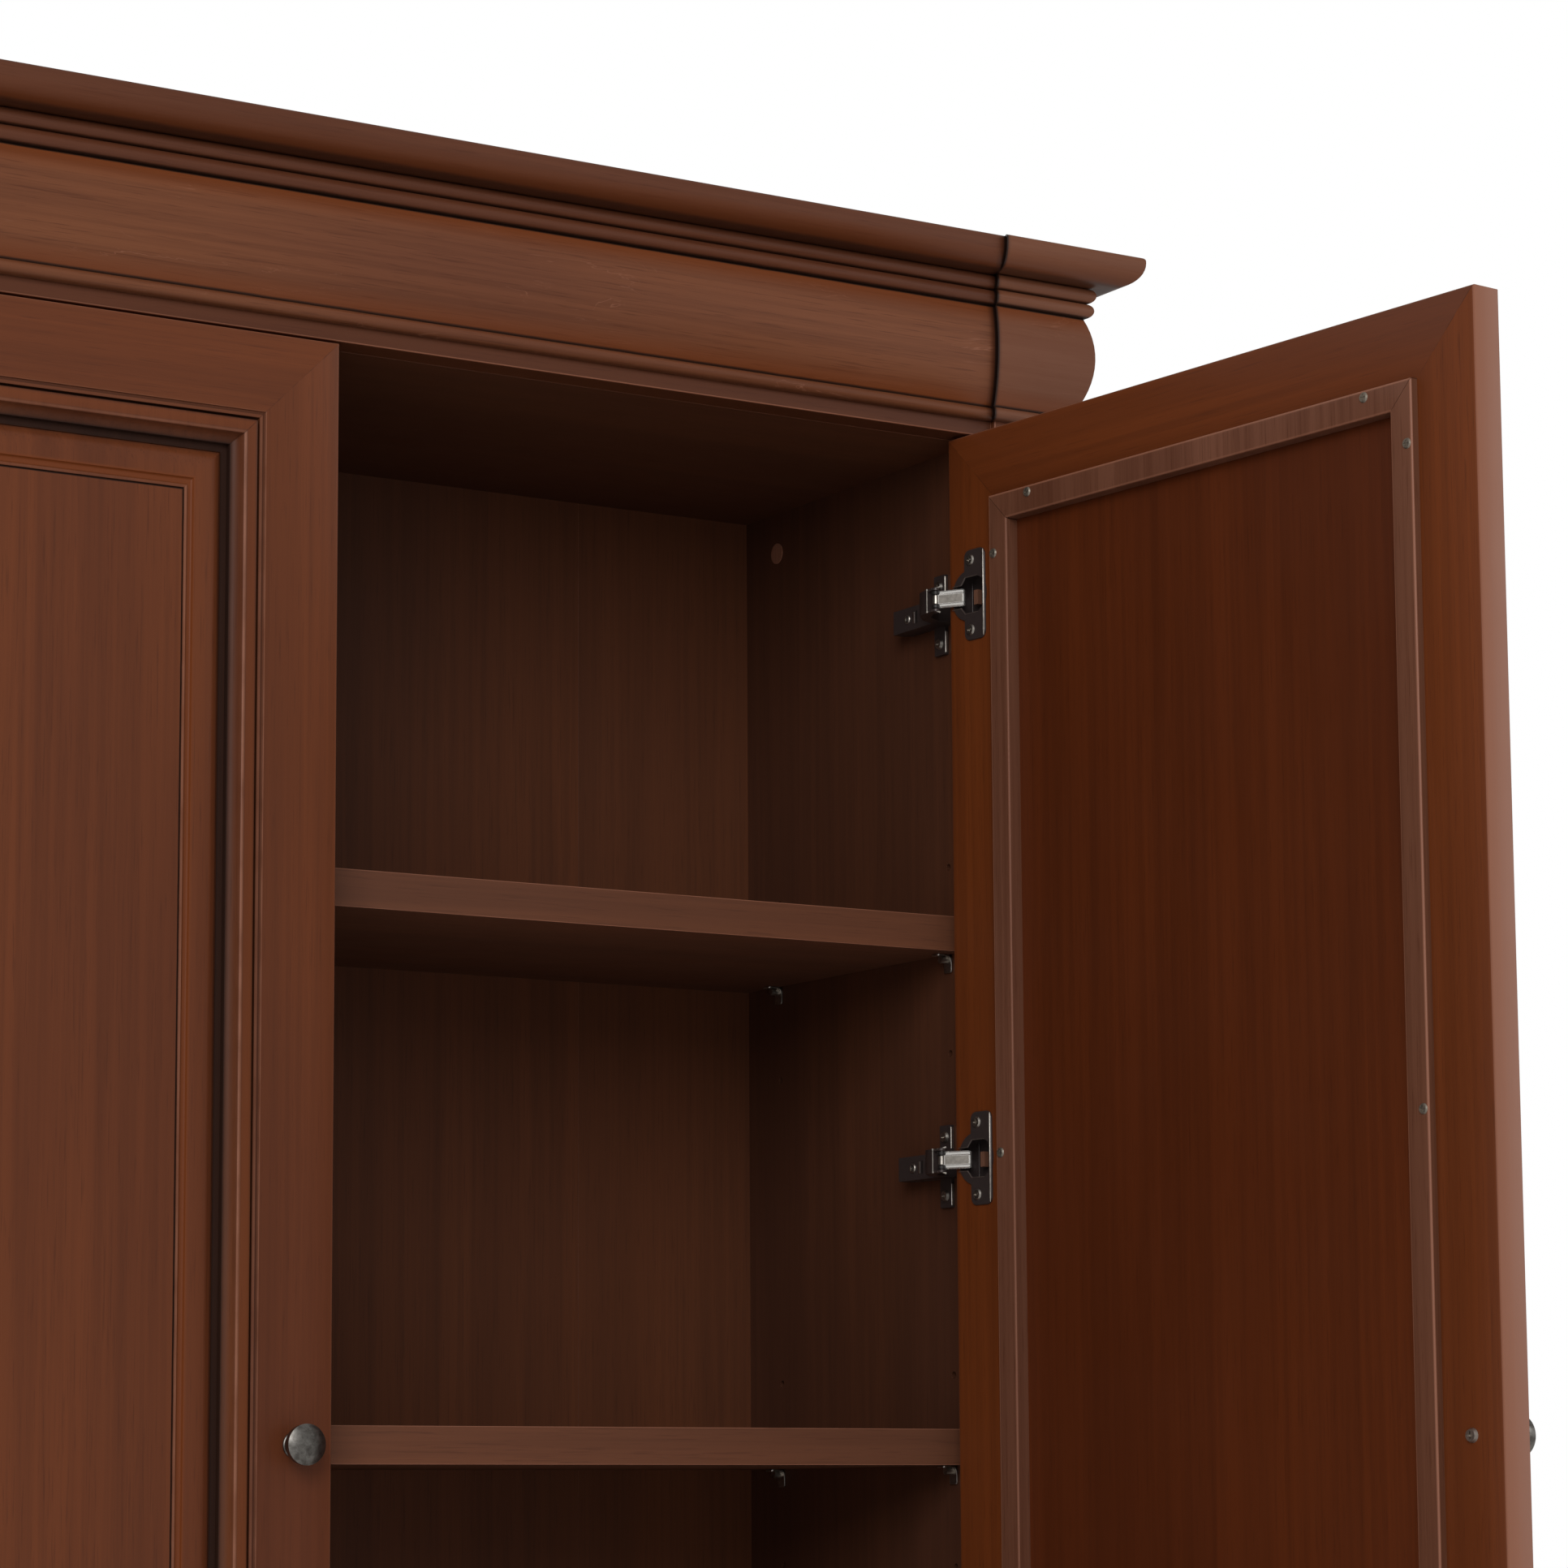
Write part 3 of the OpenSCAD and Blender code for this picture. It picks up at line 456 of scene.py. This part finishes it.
# Brown for the block in the cup: a painted reflection of the door's wood
REFLECTION_BROWN = metal("painted_reflection_brown", (0.17, 0.075, 0.045), 0.4, bare=0.1)
# Near-black steel for the rivets, and for the bars in the screw's slot and the arm's notch, which are
# painted shade
DARK_STEEL_AND_SHADE = metal("dark_steel_and_painted_shade", (0.016, 0.013, 0.012), 0.45, bare=0.3)

FLOOR_SIZE = 9.0


def floor_material():
    """Pale and matt near the armoire, fading into the white surroundings further off."""
    g = Graph("pale_floor")
    cloud = g.noise(g.coordinates(), 1.5, 3.0, 0.5)
    g.set(Base_Color=g.ramp(cloud, [(0.3, (0.80, 0.80, 0.79)), (0.7, (0.84, 0.84, 0.83))]), Roughness=0.6)
    reach = g.node("ShaderNodeVectorMath", operation="LENGTH")
    g.put(reach.inputs[0], g.coordinates())
    fade = g.ramp(g.math("DIVIDE", reach.outputs["Value"], FLOOR_SIZE / 2), [(0.25, 0.0), (0.85, 1.0)], True)
    clear = g.node("ShaderNodeBsdfTransparent")
    mixed = g.node("ShaderNodeMixShader")
    g.put(mixed.inputs[0], fade)
    g.links.new(g.shader.outputs[0], mixed.inputs[1])
    g.links.new(clear.outputs[0], mixed.inputs[2])
    g.links.new(mixed.outputs[0], g.nodes["Material Output"].inputs[0])
    return g.material


# ---------- CAD nodes: crisp shading, softened edges and materials ----------

SMOOTH_BELOW = math.radians(30)


def crisp_group():
    """Geometry nodes: joins split corners, and shades smooth except across sharp edges."""
    tree = bpy.data.node_groups.new("crisp_shading", "GeometryNodeTree")
    tree.interface.new_socket("Geometry", in_out="INPUT", socket_type="NodeSocketGeometry")
    tree.interface.new_socket("Geometry", in_out="OUTPUT", socket_type="NodeSocketGeometry")
    nodes, links = tree.nodes, tree.links
    first = nodes.new("NodeGroupInput")
    last = nodes.new("NodeGroupOutput")
    forget = nodes.new("GeometryNodeRemoveAttribute")
    forget.inputs["Name"].default_value = "custom_normal"
    merge = nodes.new("GeometryNodeMergeByDistance")
    merge.inputs["Distance"].default_value = 2e-6
    angle = nodes.new("GeometryNodeInputMeshEdgeAngle")
    gentle = nodes.new("FunctionNodeCompare")
    gentle.operation = "LESS_THAN"
    gentle.inputs[1].default_value = SMOOTH_BELOW
    faces = nodes.new("GeometryNodeSetShadeSmooth")
    edges = nodes.new("GeometryNodeSetShadeSmooth")
    edges.domain = "EDGE"
    links.new(first.outputs[0], forget.inputs[0])
    links.new(forget.outputs[0], merge.inputs[0])
    links.new(merge.outputs[0], faces.inputs[0])
    links.new(faces.outputs[0], edges.inputs[0])
    links.new(angle.outputs[0], gentle.inputs[0])
    links.new(gentle.outputs[0], edges.inputs["Shade Smooth"])
    links.new(edges.outputs[0], last.inputs[0])
    return tree


CRISP = crisp_group()


def soften(thing, width):
    """Rounds an object's sharp edges."""
    bevel = thing.modifiers.new("arris", "BEVEL")
    bevel.width = width
    bevel.segments = 2
    bevel.limit_method = "ANGLE"
    bevel.angle_limit = SMOOTH_BELOW
    bevel.harden_normals = True
    return bevel


def dress(node, material, edge=0.0, highlight_material=None):
    """Gives a CAD node its material, crisp shading and, with edge, rounded arrises, which a second material
    may paint paler as a painted highlight.
    """
    thing = NODES[node]
    thing.data.materials.clear()
    thing.data.materials.append(material)
    thing.modifiers.new("crisp", "NODES").node_group = CRISP
    if edge:
        bevel = soften(thing, edge)
        if highlight_material:
            thing.data.materials.append(highlight_material)
            bevel.material = 1


# The outside's nodes, each with its grain's direction, its seed and how strongly it is figured
OUTSIDE = {
    "crown_front": ("x", 0.3, 0.0), "crown_corners": ("x", 1.4, 0.0), "crown_sides": ("y", 2.2, 0.0),
    "frieze_front": ("x", 3.1, 0.55), "frieze_corners": ("x", 4.6, 0.5), "frieze_sides": ("y", 5.2, 0.4),
    "skirting_front": ("x", 6.3, 0.0), "skirting_sides": ("y", 7.7, 0.0),
    "skirting_cap_front": ("x", 8.1, 0.0), "skirting_cap_sides": ("y", 9.9, 0.0),
    "front_post_left": ("z", 10.4, 0.0), "front_post_right": ("z", 11.2, 0.0),
    "rear_posts": ("z", 12.5, 0.0), "side_rails": ("y", 13.1, 0.0), "side_panels": ("z", 14.8, 0.3),
    "top_rail": ("x", 15.6, 0.0)}
OUTSIDE_TONES = {
    "top_rail": RAIL_TONES, "frieze_front": FRIEZE_TONES, "frieze_corners": CORNER_SHEEN_TONES,
    "crown_corners": CORNER_SHEEN_TONES, "crown_front": CROWN_TONES}
# The inside's nodes, each with its grain's direction and its seed
INSIDE = {
    "plinth_bearers": ("x", 1.1), "bottom_panel": ("x", 2.4), "wall_liner_left": ("z", 3.9),
    "wall_liner_right": ("z", 4.3), "top_panel": ("x", 5.7), "dust_cover": ("x", 6.6),
    "back_board_left": ("z", 7.2), "back_board_middle": ("z", 8.8), "back_board_right": ("z", 9.4),
    "shelf_upper": ("x", 10.9), "shelf_middle": ("x", 11.3), "shelf_lower": ("x", 12.7)}
# How far the plain boards' edges are rounded
OUTSIDE_ARRIS = 0.8 * MM
INSIDE_ARRIS = 0.5 * MM
CAP_ARRIS = 0.2 * MM
METAL_ARRIS = 0.35 * MM


def dress_case():
    # Paler wood on the rounded arrises, as painted highlights
    highlight_material = case_wood("painted_highlight_edge", "x", HIGHLIGHT_EDGE_TONES, 9.0)
    inner_highlight_material = case_wood("painted_highlight_inner_edge", "x", HIGHLIGHT_INNER_TONES, 9.5)
    for node, (grain, seed, figure) in OUTSIDE.items():
        cornice = node.startswith(("crown", "frieze"))
        moulded = cornice or node.startswith("skirting_cap")
        tones = OUTSIDE_TONES.get(node, OUTER_TONES)
        material = case_wood(node + "_wood", grain, tones, seed, figure=figure, cornice=cornice)
        dress(node, material, 0.0 if moulded else OUTSIDE_ARRIS, highlight_material)
    for node, (grain, seed) in INSIDE.items():
        # The walls get the darker tones of painted shade
        tones = SHADED_WALL_TONES if node.startswith("wall") else INNER_TONES
        tones = SHELF_TONES if node.startswith("shelf") else tones
        material = case_wood(node + "_wood", grain, tones, seed, rough=0.5, coat=0.0)
        dress(node, material, INSIDE_ARRIS, inner_highlight_material)
    dress("connector_caps", case_wood("cap_wood", "z", CAP_TONES, 2.0), CAP_ARRIS)


def dress_doors():
    for side, seed in (("left", 20.0), ("right", 31.0)):
        looks = {"hinge_stile": "z", "free_stile": "z", "top_rail": "x", "bottom_rail": "x", "panel": "z"}
        for count, (part, grain) in enumerate(looks.items()):
            name = f"{side}_{part}"
            framing = part != "panel"
            wood = door_wood(name + "_wood", side, grain, seed + count * 1.3, DOOR_TONES, mitred=framing)
            dress(name, wood)
        dress(side + "_moulding", door_wood(side + "_moulding_wood", side, "z", seed + 8, OUTER_TONES))
        dress(side + "_battens", batten_wood(side + "_batten_wood", side, seed + 9))


def dress_metal():
    for side in ("left", "right"):
        dress(side + "_knob", PEWTER)
        dress(side + "_knob_screw", NICKEL)
        dress(side + "_cup_screws", NICKEL)
        dress(side + "_batten_screws", SCREW_NICKEL)
        dress(side + "_hinge_cups", BLACK_NICKEL)
        dress(side + "_hinge_links", BRIGHT_NICKEL)
    for node in ("hinge_arms", "hinge_plates"):
        dress(node, BLACK_NICKEL, METAL_ARRIS)
    for node in ("hinge_arm_pins", "hinge_plate_screws", "shelf_pins"):
        dress(node, NICKEL)


# ---------- detail pieces in mesh code ----------

# Hinge coordinates in millimetres: x to the wall, y to the back, z up
CUP_X = -11.5
CUP_R = 17.5
FLANGE = {"left": -28.0, "right": -7.0, "half": 31.0, "corner": 5.0, "y": 13.0, "top": 13.35}
# Half of the outline of the flange's opening for the arm and the link, and of the lip round it, whose paler
# metal is a painted highlight
FLANGE_MOUTH = [(-3.9, 7.6), (-8.3, 12.3), (-20.5, 12.3), (-24.3, 10.4), (-25.7, 8.9)]
MOUTH_LIP = [(5.6, 7.9), (-3.6, 7.9), (-8.0, 12.6), (-20.8, 12.6)]
LIP_R = 0.28
# How far in from the flange's left edge its rolled edge lies, whose bright metal is a painted highlight, and
# the brown block in the cup, a painted reflection, in x and y
ROLLED_X = 1.25
CUP_REFLECTION = [(-12.0, -0.5), (-7.2, -0.5), (-7.2, 4.9), (-7.9, 5.6), (-12.0, 5.6)]
CUP_REFLECTION_HALF = 5.0
# The link's half width, and along x from its pin: its rings, how wide each is, and its face's ends
LINK_HALF = 5.9
LINK_RINGS = ((0.5, 0.90), (1.6, 1.0), (19.6, 1.0), (20.9, 0.93))
LINK_FACE = (2.6, 19.8)
LINK_RIVET = (2.0, -1.3, 4.6)
# The link's angle when the door is shut, and its turn for each degree that the door opens
LINK_SHUT = math.radians(-14)
LINK_RATIO = -0.45
# The arm: its pin, adjusting screw, window, notch, the fork's folded edge and its claws
ARM_PIN = (-22.0, 12.0)
ARM_SCREW = (-1.35, 77.5)
ARM_WINDOW = [(-1.9, 69.0), (-1.2, 69.0), (-1.2, 70.5), (-1.9, 70.5)]
ARM_NOTCH = [(-1.75, 65.2), (-1.3, 65.2), (-1.3, 67.0), (-1.75, 67.0)]
ARM_FOLD = (-25.2, 18.3)
FOLD_HALF = 7.4
CLAW_PATH = [(-24.6, 13.0, 7.6), (-23.6, 10.8, 7.4), (-20.6, 8.9, 8.8)]
CLAW_R = 0.7
# The wall plate's wings: the outline of their front edge, and where it runs
WING_EDGE = [(10.5, 48.2), (12.2, 48.2), (12.2, 48.8), (10.2, 48.8), (10.2, 48.4)]
WING_Z = (12.0, 26.5)
# Heights of the hinges above the door's foot, in metres
HINGE_LOW = 0.11095
HINGE_PITCH = 0.3807
HINGE_COUNT = 4


def add_piece(name, parts, material, body, edge=0.0):
    """One mesh from (points, faces) parts in metres, with outward faces and softened arrises."""
    mesh = bpy.data.meshes.new(name)
    bm = bmesh.new()
    for points, faces in parts:
        made = [bm.verts.new(point) for point in points]
        for face in faces:
            bm.faces.new([made[i] for i in face])
    bmesh.ops.recalc_face_normals(bm, faces=bm.faces)
    for face in bm.faces:
        face.smooth = True
    bm.to_mesh(mesh)
    bm.free()
    mesh.materials.append(material)
    piece = bpy.data.objects.new(name, mesh)
    bpy.context.scene.collection.objects.link(piece)
    if edge:
        soften(piece, edge)
    mesh.set_sharp_from_angle(angle=SMOOTH_BELOW)
    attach(piece, body)
    return piece


def loft(rings, matrix):
    """A closed skin over rings with equally many points, in millimetres, with flat ends."""
    count = len(rings[0])
    points = [matrix @ (Vector(point) * MM) for ring in rings for point in ring]
    faces = []
    for level in range(len(rings) - 1):
        base = level * count
        for i in range(count):
            after = (i + 1) % count
            faces.append((base + i, base + after, base + count + after, base + count + i))
    faces.append(tuple(range(count)))
    faces.append(tuple(range((len(rings) - 1) * count, len(rings) * count)))
    return points, faces


def prism(outline, low, high, matrix):
    """A bar with an outline in x and y, from z low to z high, in millimetres."""
    return loft([[(x, y, z) for x, y in outline] for z in (low, high)], matrix)


def arc_points(cx, cz, r, start, end, steps):
    """Points on an arc between two angles in degrees."""
    angles = [math.radians(start + (end - start) * i / steps) for i in range(steps + 1)]
    return [(cx + r * math.cos(a), cz + r * math.sin(a)) for a in angles]


def flange_outline():
    """The cup's flange seen from inside the case, with its lobe over the cup and its stepped mouth."""
    mouth = FLANGE_MOUTH
    lobe_start = math.degrees(math.asin(mouth[0][1] / CUP_R))
    lobe_end = math.degrees(math.acos((FLANGE["right"] - CUP_X) / CUP_R))
    upper = arc_points(CUP_X, 0, CUP_R, lobe_start, lobe_end, 8)
    corner, high = FLANGE["corner"], FLANGE["half"] - FLANGE["corner"]
    upper += arc_points(FLANGE["right"] - corner, high, corner, 0, 90, 5)
    upper += arc_points(FLANGE["left"] + corner, high, corner, 90, 180, 5)
    lower = [(x, -z) for x, z in reversed(upper)]
    return upper + lower + [(x, -z) for x, z in mouth] + list(reversed(mouth))


def shrunk(outline, by):
    """The outline moved inwards by a distance, corner by corner."""
    count = len(outline)
    area = 0.0
    for (x0, y0), (x1, y1) in zip(outline, outline[1:] + outline[:1]):
        area += x0 * y1 - x1 * y0
    sign = 1 if area > 0 else -1
    moved = []
    for i in range(count):
        before, here, after = (Vector(outline[(i + k) % count]) for k in (-1, 0, 1))
        first = (here - before).normalized()
        second = (after - here).normalized()
        normal = Vector((-first.y - second.y, first.x + second.x)) * sign
        reach = by / max(0.5, normal.length / 2)
        moved.append(tuple(here + normal.normalized() * reach))
    return moved


def plate_part(outline, matrix, low, high, chamfer):
    """A flat plate in the hinge's x and z, from y low to y high, with a chamfer round its outer face."""
    inner = shrunk(outline, chamfer)
    rings = [[(x, low, z) for x, z in outline], [(x, high - chamfer, z) for x, z in outline],
             [(x, high, z) for x, z in inner]]
    return loft(rings, matrix)


def ring_points(r, steps, height):
    turn = math.tau / steps
    return [(r * math.cos(turn * i), r * math.sin(turn * i), height) for i in range(steps)]


def turned_part(profile, matrix, steps=24):
    """A turned shape from (radius, height) pairs, in millimetres."""
    return loft([ring_points(r, steps, height) for r, height in profile], matrix)


def rod(start, end, r, matrix):
    """A round bar between two points in millimetres."""
    start, end = Vector(start), Vector(end)
    turn = (end - start).to_track_quat("Z", "Y").to_matrix().to_4x4()
    place = matrix @ Matrix.Translation(start * MM) @ turn
    return turned_part([(r, 0), (r, (end - start).length)], place, 8)


def cup_flange(side, number, place):
    """The flange's top skin, its rolled edge and mouth lip in paler metals as painted highlights, and a
    brown block in the cup as a painted reflection.
    """
    body = side + "_door"
    y = FLANGE["y"]
    skin = plate_part(flange_outline(), place, y - 0.4, FLANGE["top"], 0.3)
    add_piece(f"{side}_hinge_flange_{number}", [skin], BLACK_NICKEL, body)
    # The rolled edge in bright nickel and the mouth's lip in paler black nickel are painted highlights
    along = FLANGE["half"] - 1.2
    rings = []
    for z, r in ((-along, 0.3), (-along + 1.0, 1.0), (along - 1.0, 1.0), (along, 0.3)):
        rings.append([(FLANGE["left"] + ROLLED_X + 0.8 * r * px, y + 0.3 + 0.7 * r * py, z)
                      for px, py in arc_points(0, 0, 1, 0, 330, 11)])
    add_piece(f"{side}_flange_rolled_edge_{number}", [loft(rings, place)], NICKEL, body)
    lip = []
    for sign in (-1, 1):
        for (x0, z0), (x1, z1) in zip(MOUTH_LIP, MOUTH_LIP[1:]):
            lip.append(rod((x0, FLANGE["top"], sign * z0), (x1, FLANGE["top"], sign * z1), LIP_R, place))
    add_piece(f"{side}_flange_mouth_lip_{number}", lip, HIGHLIGHT_BLACK_NICKEL, body)
    # A brown block in the cup is a painted reflection of the door's wood
    reflection_block = prism(CUP_REFLECTION, -CUP_REFLECTION_HALF, CUP_REFLECTION_HALF, place)
    add_piece(f"{side}_cup_slide_{number}", [reflection_block], REFLECTION_BROWN, body)


def link_piece(side, number, place):
    """The bright pressed link with raised long rims, its flat face and neck, and its rivets."""
    body = side + "_links"
    half = LINK_HALF
    outline = [(1.4, -half + 0.3), (1.1, -half), (-0.6, -half), (-1.4, -half + 0.9), (-1.4, -3.6)]
    outline += [(-1.0, -3.0), (-1.0, 3.0)]
    outline += [(-1.4, 3.6), (-1.4, half - 0.9), (-0.6, half), (1.1, half), (1.4, half - 0.3)]
    rings = []
    for x, narrow in LINK_RINGS:
        rings.append([(x, y, z * narrow) for y, z in outline])
    neck = turned_part([(1.9, -3.2), (2.3, -2.8), (2.3, 2.8), (1.9, 3.2)], place)
    name = f"{side}_hinge_link_{number}"
    link = add_piece(name, [loft(rings, place)], BRIGHT_NICKEL, body)
    face = [(-0.8, -2.9), (-1.12, -2.7), (-1.12, 2.7), (-0.8, 2.9)]
    face_rings = [[(x, y, z) for y, z in face] for x in LINK_FACE]
    add_piece(f"{side}_link_face_{number}", [loft(face_rings, place), neck], NICKEL, body)
    rivets = [turned_part([(2.6, low), (3.0, low + 0.3), (3.0, high - 0.3), (2.6, high)], place)
              for low, high in ((-half, -3.4), (3.4, half))]
    x, y, z = LINK_RIVET
    turn = Matrix.Rotation(math.pi / 2, 4, "X")
    for sign in (-1, 1):
        seat = place @ Matrix.Translation(Vector((x, y, sign * z)) * MM) @ turn
        rivets.append(turned_part([(1.5, 0), (1.5, 0.3), (1.1, 0.5)], seat, 14))
    add_piece(f"{side}_link_rivets_{number}", rivets, DARK_STEEL_AND_SHADE, body)
    return link


def arm_details(side, number, place):
    """The arm's screw, window, notch, folded edge and claws, and the edges of the plate's wings; the dark
    bar in the screw's slot and the dark slab in the notch are painted shade, and the bright folded edge and
    wing edges are painted highlights.
    """
    screw_place = Matrix.Translation(Vector((*ARM_SCREW, 0)) * MM) @ Matrix.Rotation(-math.pi / 2, 4, "Y")
    seat = place @ screw_place
    head = turned_part([(3.3, -0.6), (3.3, 0.5), (2.9, 0.95), (2.0, 1.1), (1.9, 0.55), (0.2, 0.5)], seat)
    # A dark bar stands for the screw's slot: painted shade
    bar = [(-2.6, -0.45), (2.6, -0.45), (2.6, 0.45), (-2.6, 0.45)]
    slot = prism(bar, 0.4, 1.18, seat)
    add_piece(f"{side}_arm_screw_slot_{number}", [slot], DARK_STEEL_AND_SHADE, "case")
    window = prism(ARM_WINDOW, -4.0, 4.0, place)
    add_piece(f"{side}_arm_screw_{number}", [head, window], NICKEL, "case")
    # A dark slab stands for the arm's notch: painted shade
    notch = prism(ARM_NOTCH, -4.4, 4.4, place)
    add_piece(f"{side}_arm_slide_notch_{number}", [notch], DARK_STEEL_AND_SHADE, "case")
    # The folded edge in bright nickel is a painted highlight
    fold = [rod((*ARM_FOLD, -FOLD_HALF), (*ARM_FOLD, FOLD_HALF), 0.45, place)]
    for z in (-FOLD_HALF - 0.2, FOLD_HALF + 0.2):
        fold.append(rod((*ARM_FOLD, z - 0.6), (*ARM_FOLD, z + 0.6), 0.8, place))
    add_piece(f"{side}_arm_folded_edge_{number}", fold, NICKEL, "case")
    # Bright nickel strips along the wings' front edges are painted highlights
    claws, edges = [], []
    for sign in (-1, 1):
        for (x0, y0, z0), (x1, y1, z1) in zip(CLAW_PATH, CLAW_PATH[1:]):
            claws.append(rod((x0, y0, sign * z0), (x1, y1, sign * z1), CLAW_R, place))
        edges.append(prism(WING_EDGE, sign * WING_Z[0], sign * WING_Z[1], place))
    add_piece(f"{side}_arm_claws_{number}", claws, NICKEL, "case")
    add_piece(f"{side}_plate_wing_edges_{number}", edges, NICKEL, "case")


def hinge_details():
    """Every hinge's details. The pressed links take the place of the plain ones."""
    for side in ("left", "right"):
        opened = REST_OPEN if side == "right" else 0.0
        for number in range(HINGE_COUNT):
            height = HINGE_LOW + number * HINGE_PITCH
            fixed = hinge_matrix(side, height)
            pin = Matrix.Translation(Vector((*ARM_PIN, 0)) * MM)
            swing = Matrix.Rotation(LINK_SHUT + LINK_RATIO * opened, 4, "Z")
            cup_flange(side, number + 1, hinge_matrix(side, height, opened))
            link_piece(side, number + 1, fixed @ pin @ swing)
            arm_details(side, number + 1, fixed)
        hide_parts(side + "_hinge_links")


# Shelf supports: a curved strip's path out from the wall and down from the shelf, its half widths and
# half its thickness, in millimetres, and the strips' places behind the doors' front, in metres
SUPPORT_PATH = [(-12.0, -1.3), (-11.0, -0.7), (-6.0, -0.7), (-3.4, -1.1), (-1.9, -2.3), (-1.2, -4.2),
                (-1.0, -7.0), (-1.0, -11.5), (-1.3, -12.6)]
SUPPORT_HALF = 4.4
SUPPORT_END_HALF = 3.6
SUPPORT_THICK = 0.55
SUPPORT_Y = (0.062, 0.280)
SUPPORT_ARRIS = 0.25 * MM


def support_strip(matrix):
    """One strip, bent along its path and a little narrower at its ends."""
    rings = []
    last = len(SUPPORT_PATH) - 1
    for i, (x, z) in enumerate(SUPPORT_PATH):
        before = Vector(SUPPORT_PATH[max(0, i - 1)])
        after = Vector(SUPPORT_PATH[min(last, i + 1)])
        along = (after - before).normalized()
        out = Vector((-along.y, along.x)) * SUPPORT_THICK
        half = SUPPORT_HALF if 0 < i < last else SUPPORT_END_HALF
        rings.append([(x + out.x, -half, z + out.y), (x + out.x, half, z + out.y),
                      (x - out.x, half, z - out.y), (x - out.x, -half, z - out.y)])
    return loft(rings, matrix)


def shelf_supports():
    """Two strips under each end of each shelf."""
    unders = [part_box(name)[0].z for name in ("shelf_upper", "shelf_middle", "shelf_lower")]
    for sign, side in ((-1, "left"), (1, "right")):
        strips = []
        for under in unders:
            for y in SUPPORT_Y:
                place = Matrix.Translation((sign * WALL_X, DOOR_FRONT + y, under))
                strips.append(support_strip(place @ Matrix.Scale(sign, 4, (1, 0, 0))))
        add_piece(side + "_shelf_support_strips", strips, NICKEL, "case", SUPPORT_ARRIS)


# ---------- camera, floor and lights ----------

# Worked out from the edges in the photograph
CAMERA_PLACE = Vector((-1.2205, -2.6263, 0.7434))
CAMERA_YAW = math.radians(32.124)
CAMERA_PITCH = math.radians(7.676)
CAMERA_ROLL = math.radians(-0.346)
CAMERA_LENS = 103.211
CAMERA_SHIFT = 0.08


def make_camera():
    data = bpy.data.cameras.new("camera")
    data.lens = CAMERA_LENS
    data.sensor_width = 36
    data.shift_y = CAMERA_SHIFT
    camera = bpy.data.objects.new("camera", data)
    forward = Vector((math.sin(CAMERA_YAW) * math.cos(CAMERA_PITCH),
                      math.cos(CAMERA_YAW) * math.cos(CAMERA_PITCH), math.sin(CAMERA_PITCH)))
    level_right = Vector((math.cos(CAMERA_YAW), -math.sin(CAMERA_YAW), 0))
    level_up = level_right.cross(forward)
    right = level_right * math.cos(CAMERA_ROLL) + level_up * math.sin(CAMERA_ROLL)
    up = -level_right * math.sin(CAMERA_ROLL) + level_up * math.cos(CAMERA_ROLL)
    turn = Matrix((right, up, -forward)).transposed().to_4x4()
    camera.matrix_world = Matrix.Translation(CAMERA_PLACE) @ turn
    bpy.context.scene.collection.objects.link(camera)
    bpy.context.scene.camera = camera


def make_floor():
    mesh = bpy.data.meshes.new("floor")
    half = FLOOR_SIZE / 2
    corners = [(-half, -half, 0), (half, -half, 0), (half, half, 0), (-half, half, 0)]
    mesh.from_pydata(corners, [], [(0, 1, 2, 3)])
    mesh.materials.append(floor_material())
    floor = bpy.data.objects.new("floor", mesh)
    bpy.context.scene.collection.objects.link(floor)


def soft_light(name, place, aim, size, power):
    """A large soft area light aimed at a point."""
    data = bpy.data.lights.new(name, "AREA")
    data.shape = "RECTANGLE"
    data.size, data.size_y = size
    data.energy = power
    light = bpy.data.objects.new(name, data)
    light.location = place
    light.rotation_euler = (Vector(aim) - Vector(place)).to_track_quat("-Z", "Y").to_euler()
    bpy.context.scene.collection.objects.link(light)


def make_light():
    """White surroundings that light the armoire more weakly than the camera sees them, and three lights."""
    world = bpy.data.worlds.new("studio")
    world.use_nodes = True
    nodes, links = world.node_tree.nodes, world.node_tree.links
    nodes.clear()
    seen = nodes.new("ShaderNodeBackground")
    seen.inputs["Color"].default_value = (1, 1, 1, 1)
    lit = nodes.new("ShaderNodeBackground")
    lit.inputs["Color"].default_value = (1, 0.985, 0.97, 1)
    lit.inputs["Strength"].default_value = 0.5
    path = nodes.new("ShaderNodeLightPath")
    mix = nodes.new("ShaderNodeMixShader")
    out = nodes.new("ShaderNodeOutputWorld")
    links.new(path.outputs["Is Camera Ray"], mix.inputs[0])
    links.new(lit.outputs[0], mix.inputs[1])
    links.new(seen.outputs[0], mix.inputs[2])
    links.new(mix.outputs[0], out.inputs[0])
    bpy.context.scene.world = world
    soft_light("key", (-2.4, -3.6, 2.6), (0, 0, 1.1), (2.2, 2.2), 90)
    soft_light("fill", (3.6, -1.9, 1.7), (0.3, 0, 1.0), (2.0, 2.4), 34)
    soft_light("back", (-1.0, 3.4, 2.4), (0, 0, 1.0), (2.4, 1.6), 45)
    bpy.context.scene.view_settings.view_transform = "Standard"


make_camera()
make_floor()
make_light()
dress_case()
dress_doors()
dress_metal()
hinge_details()
shelf_supports()
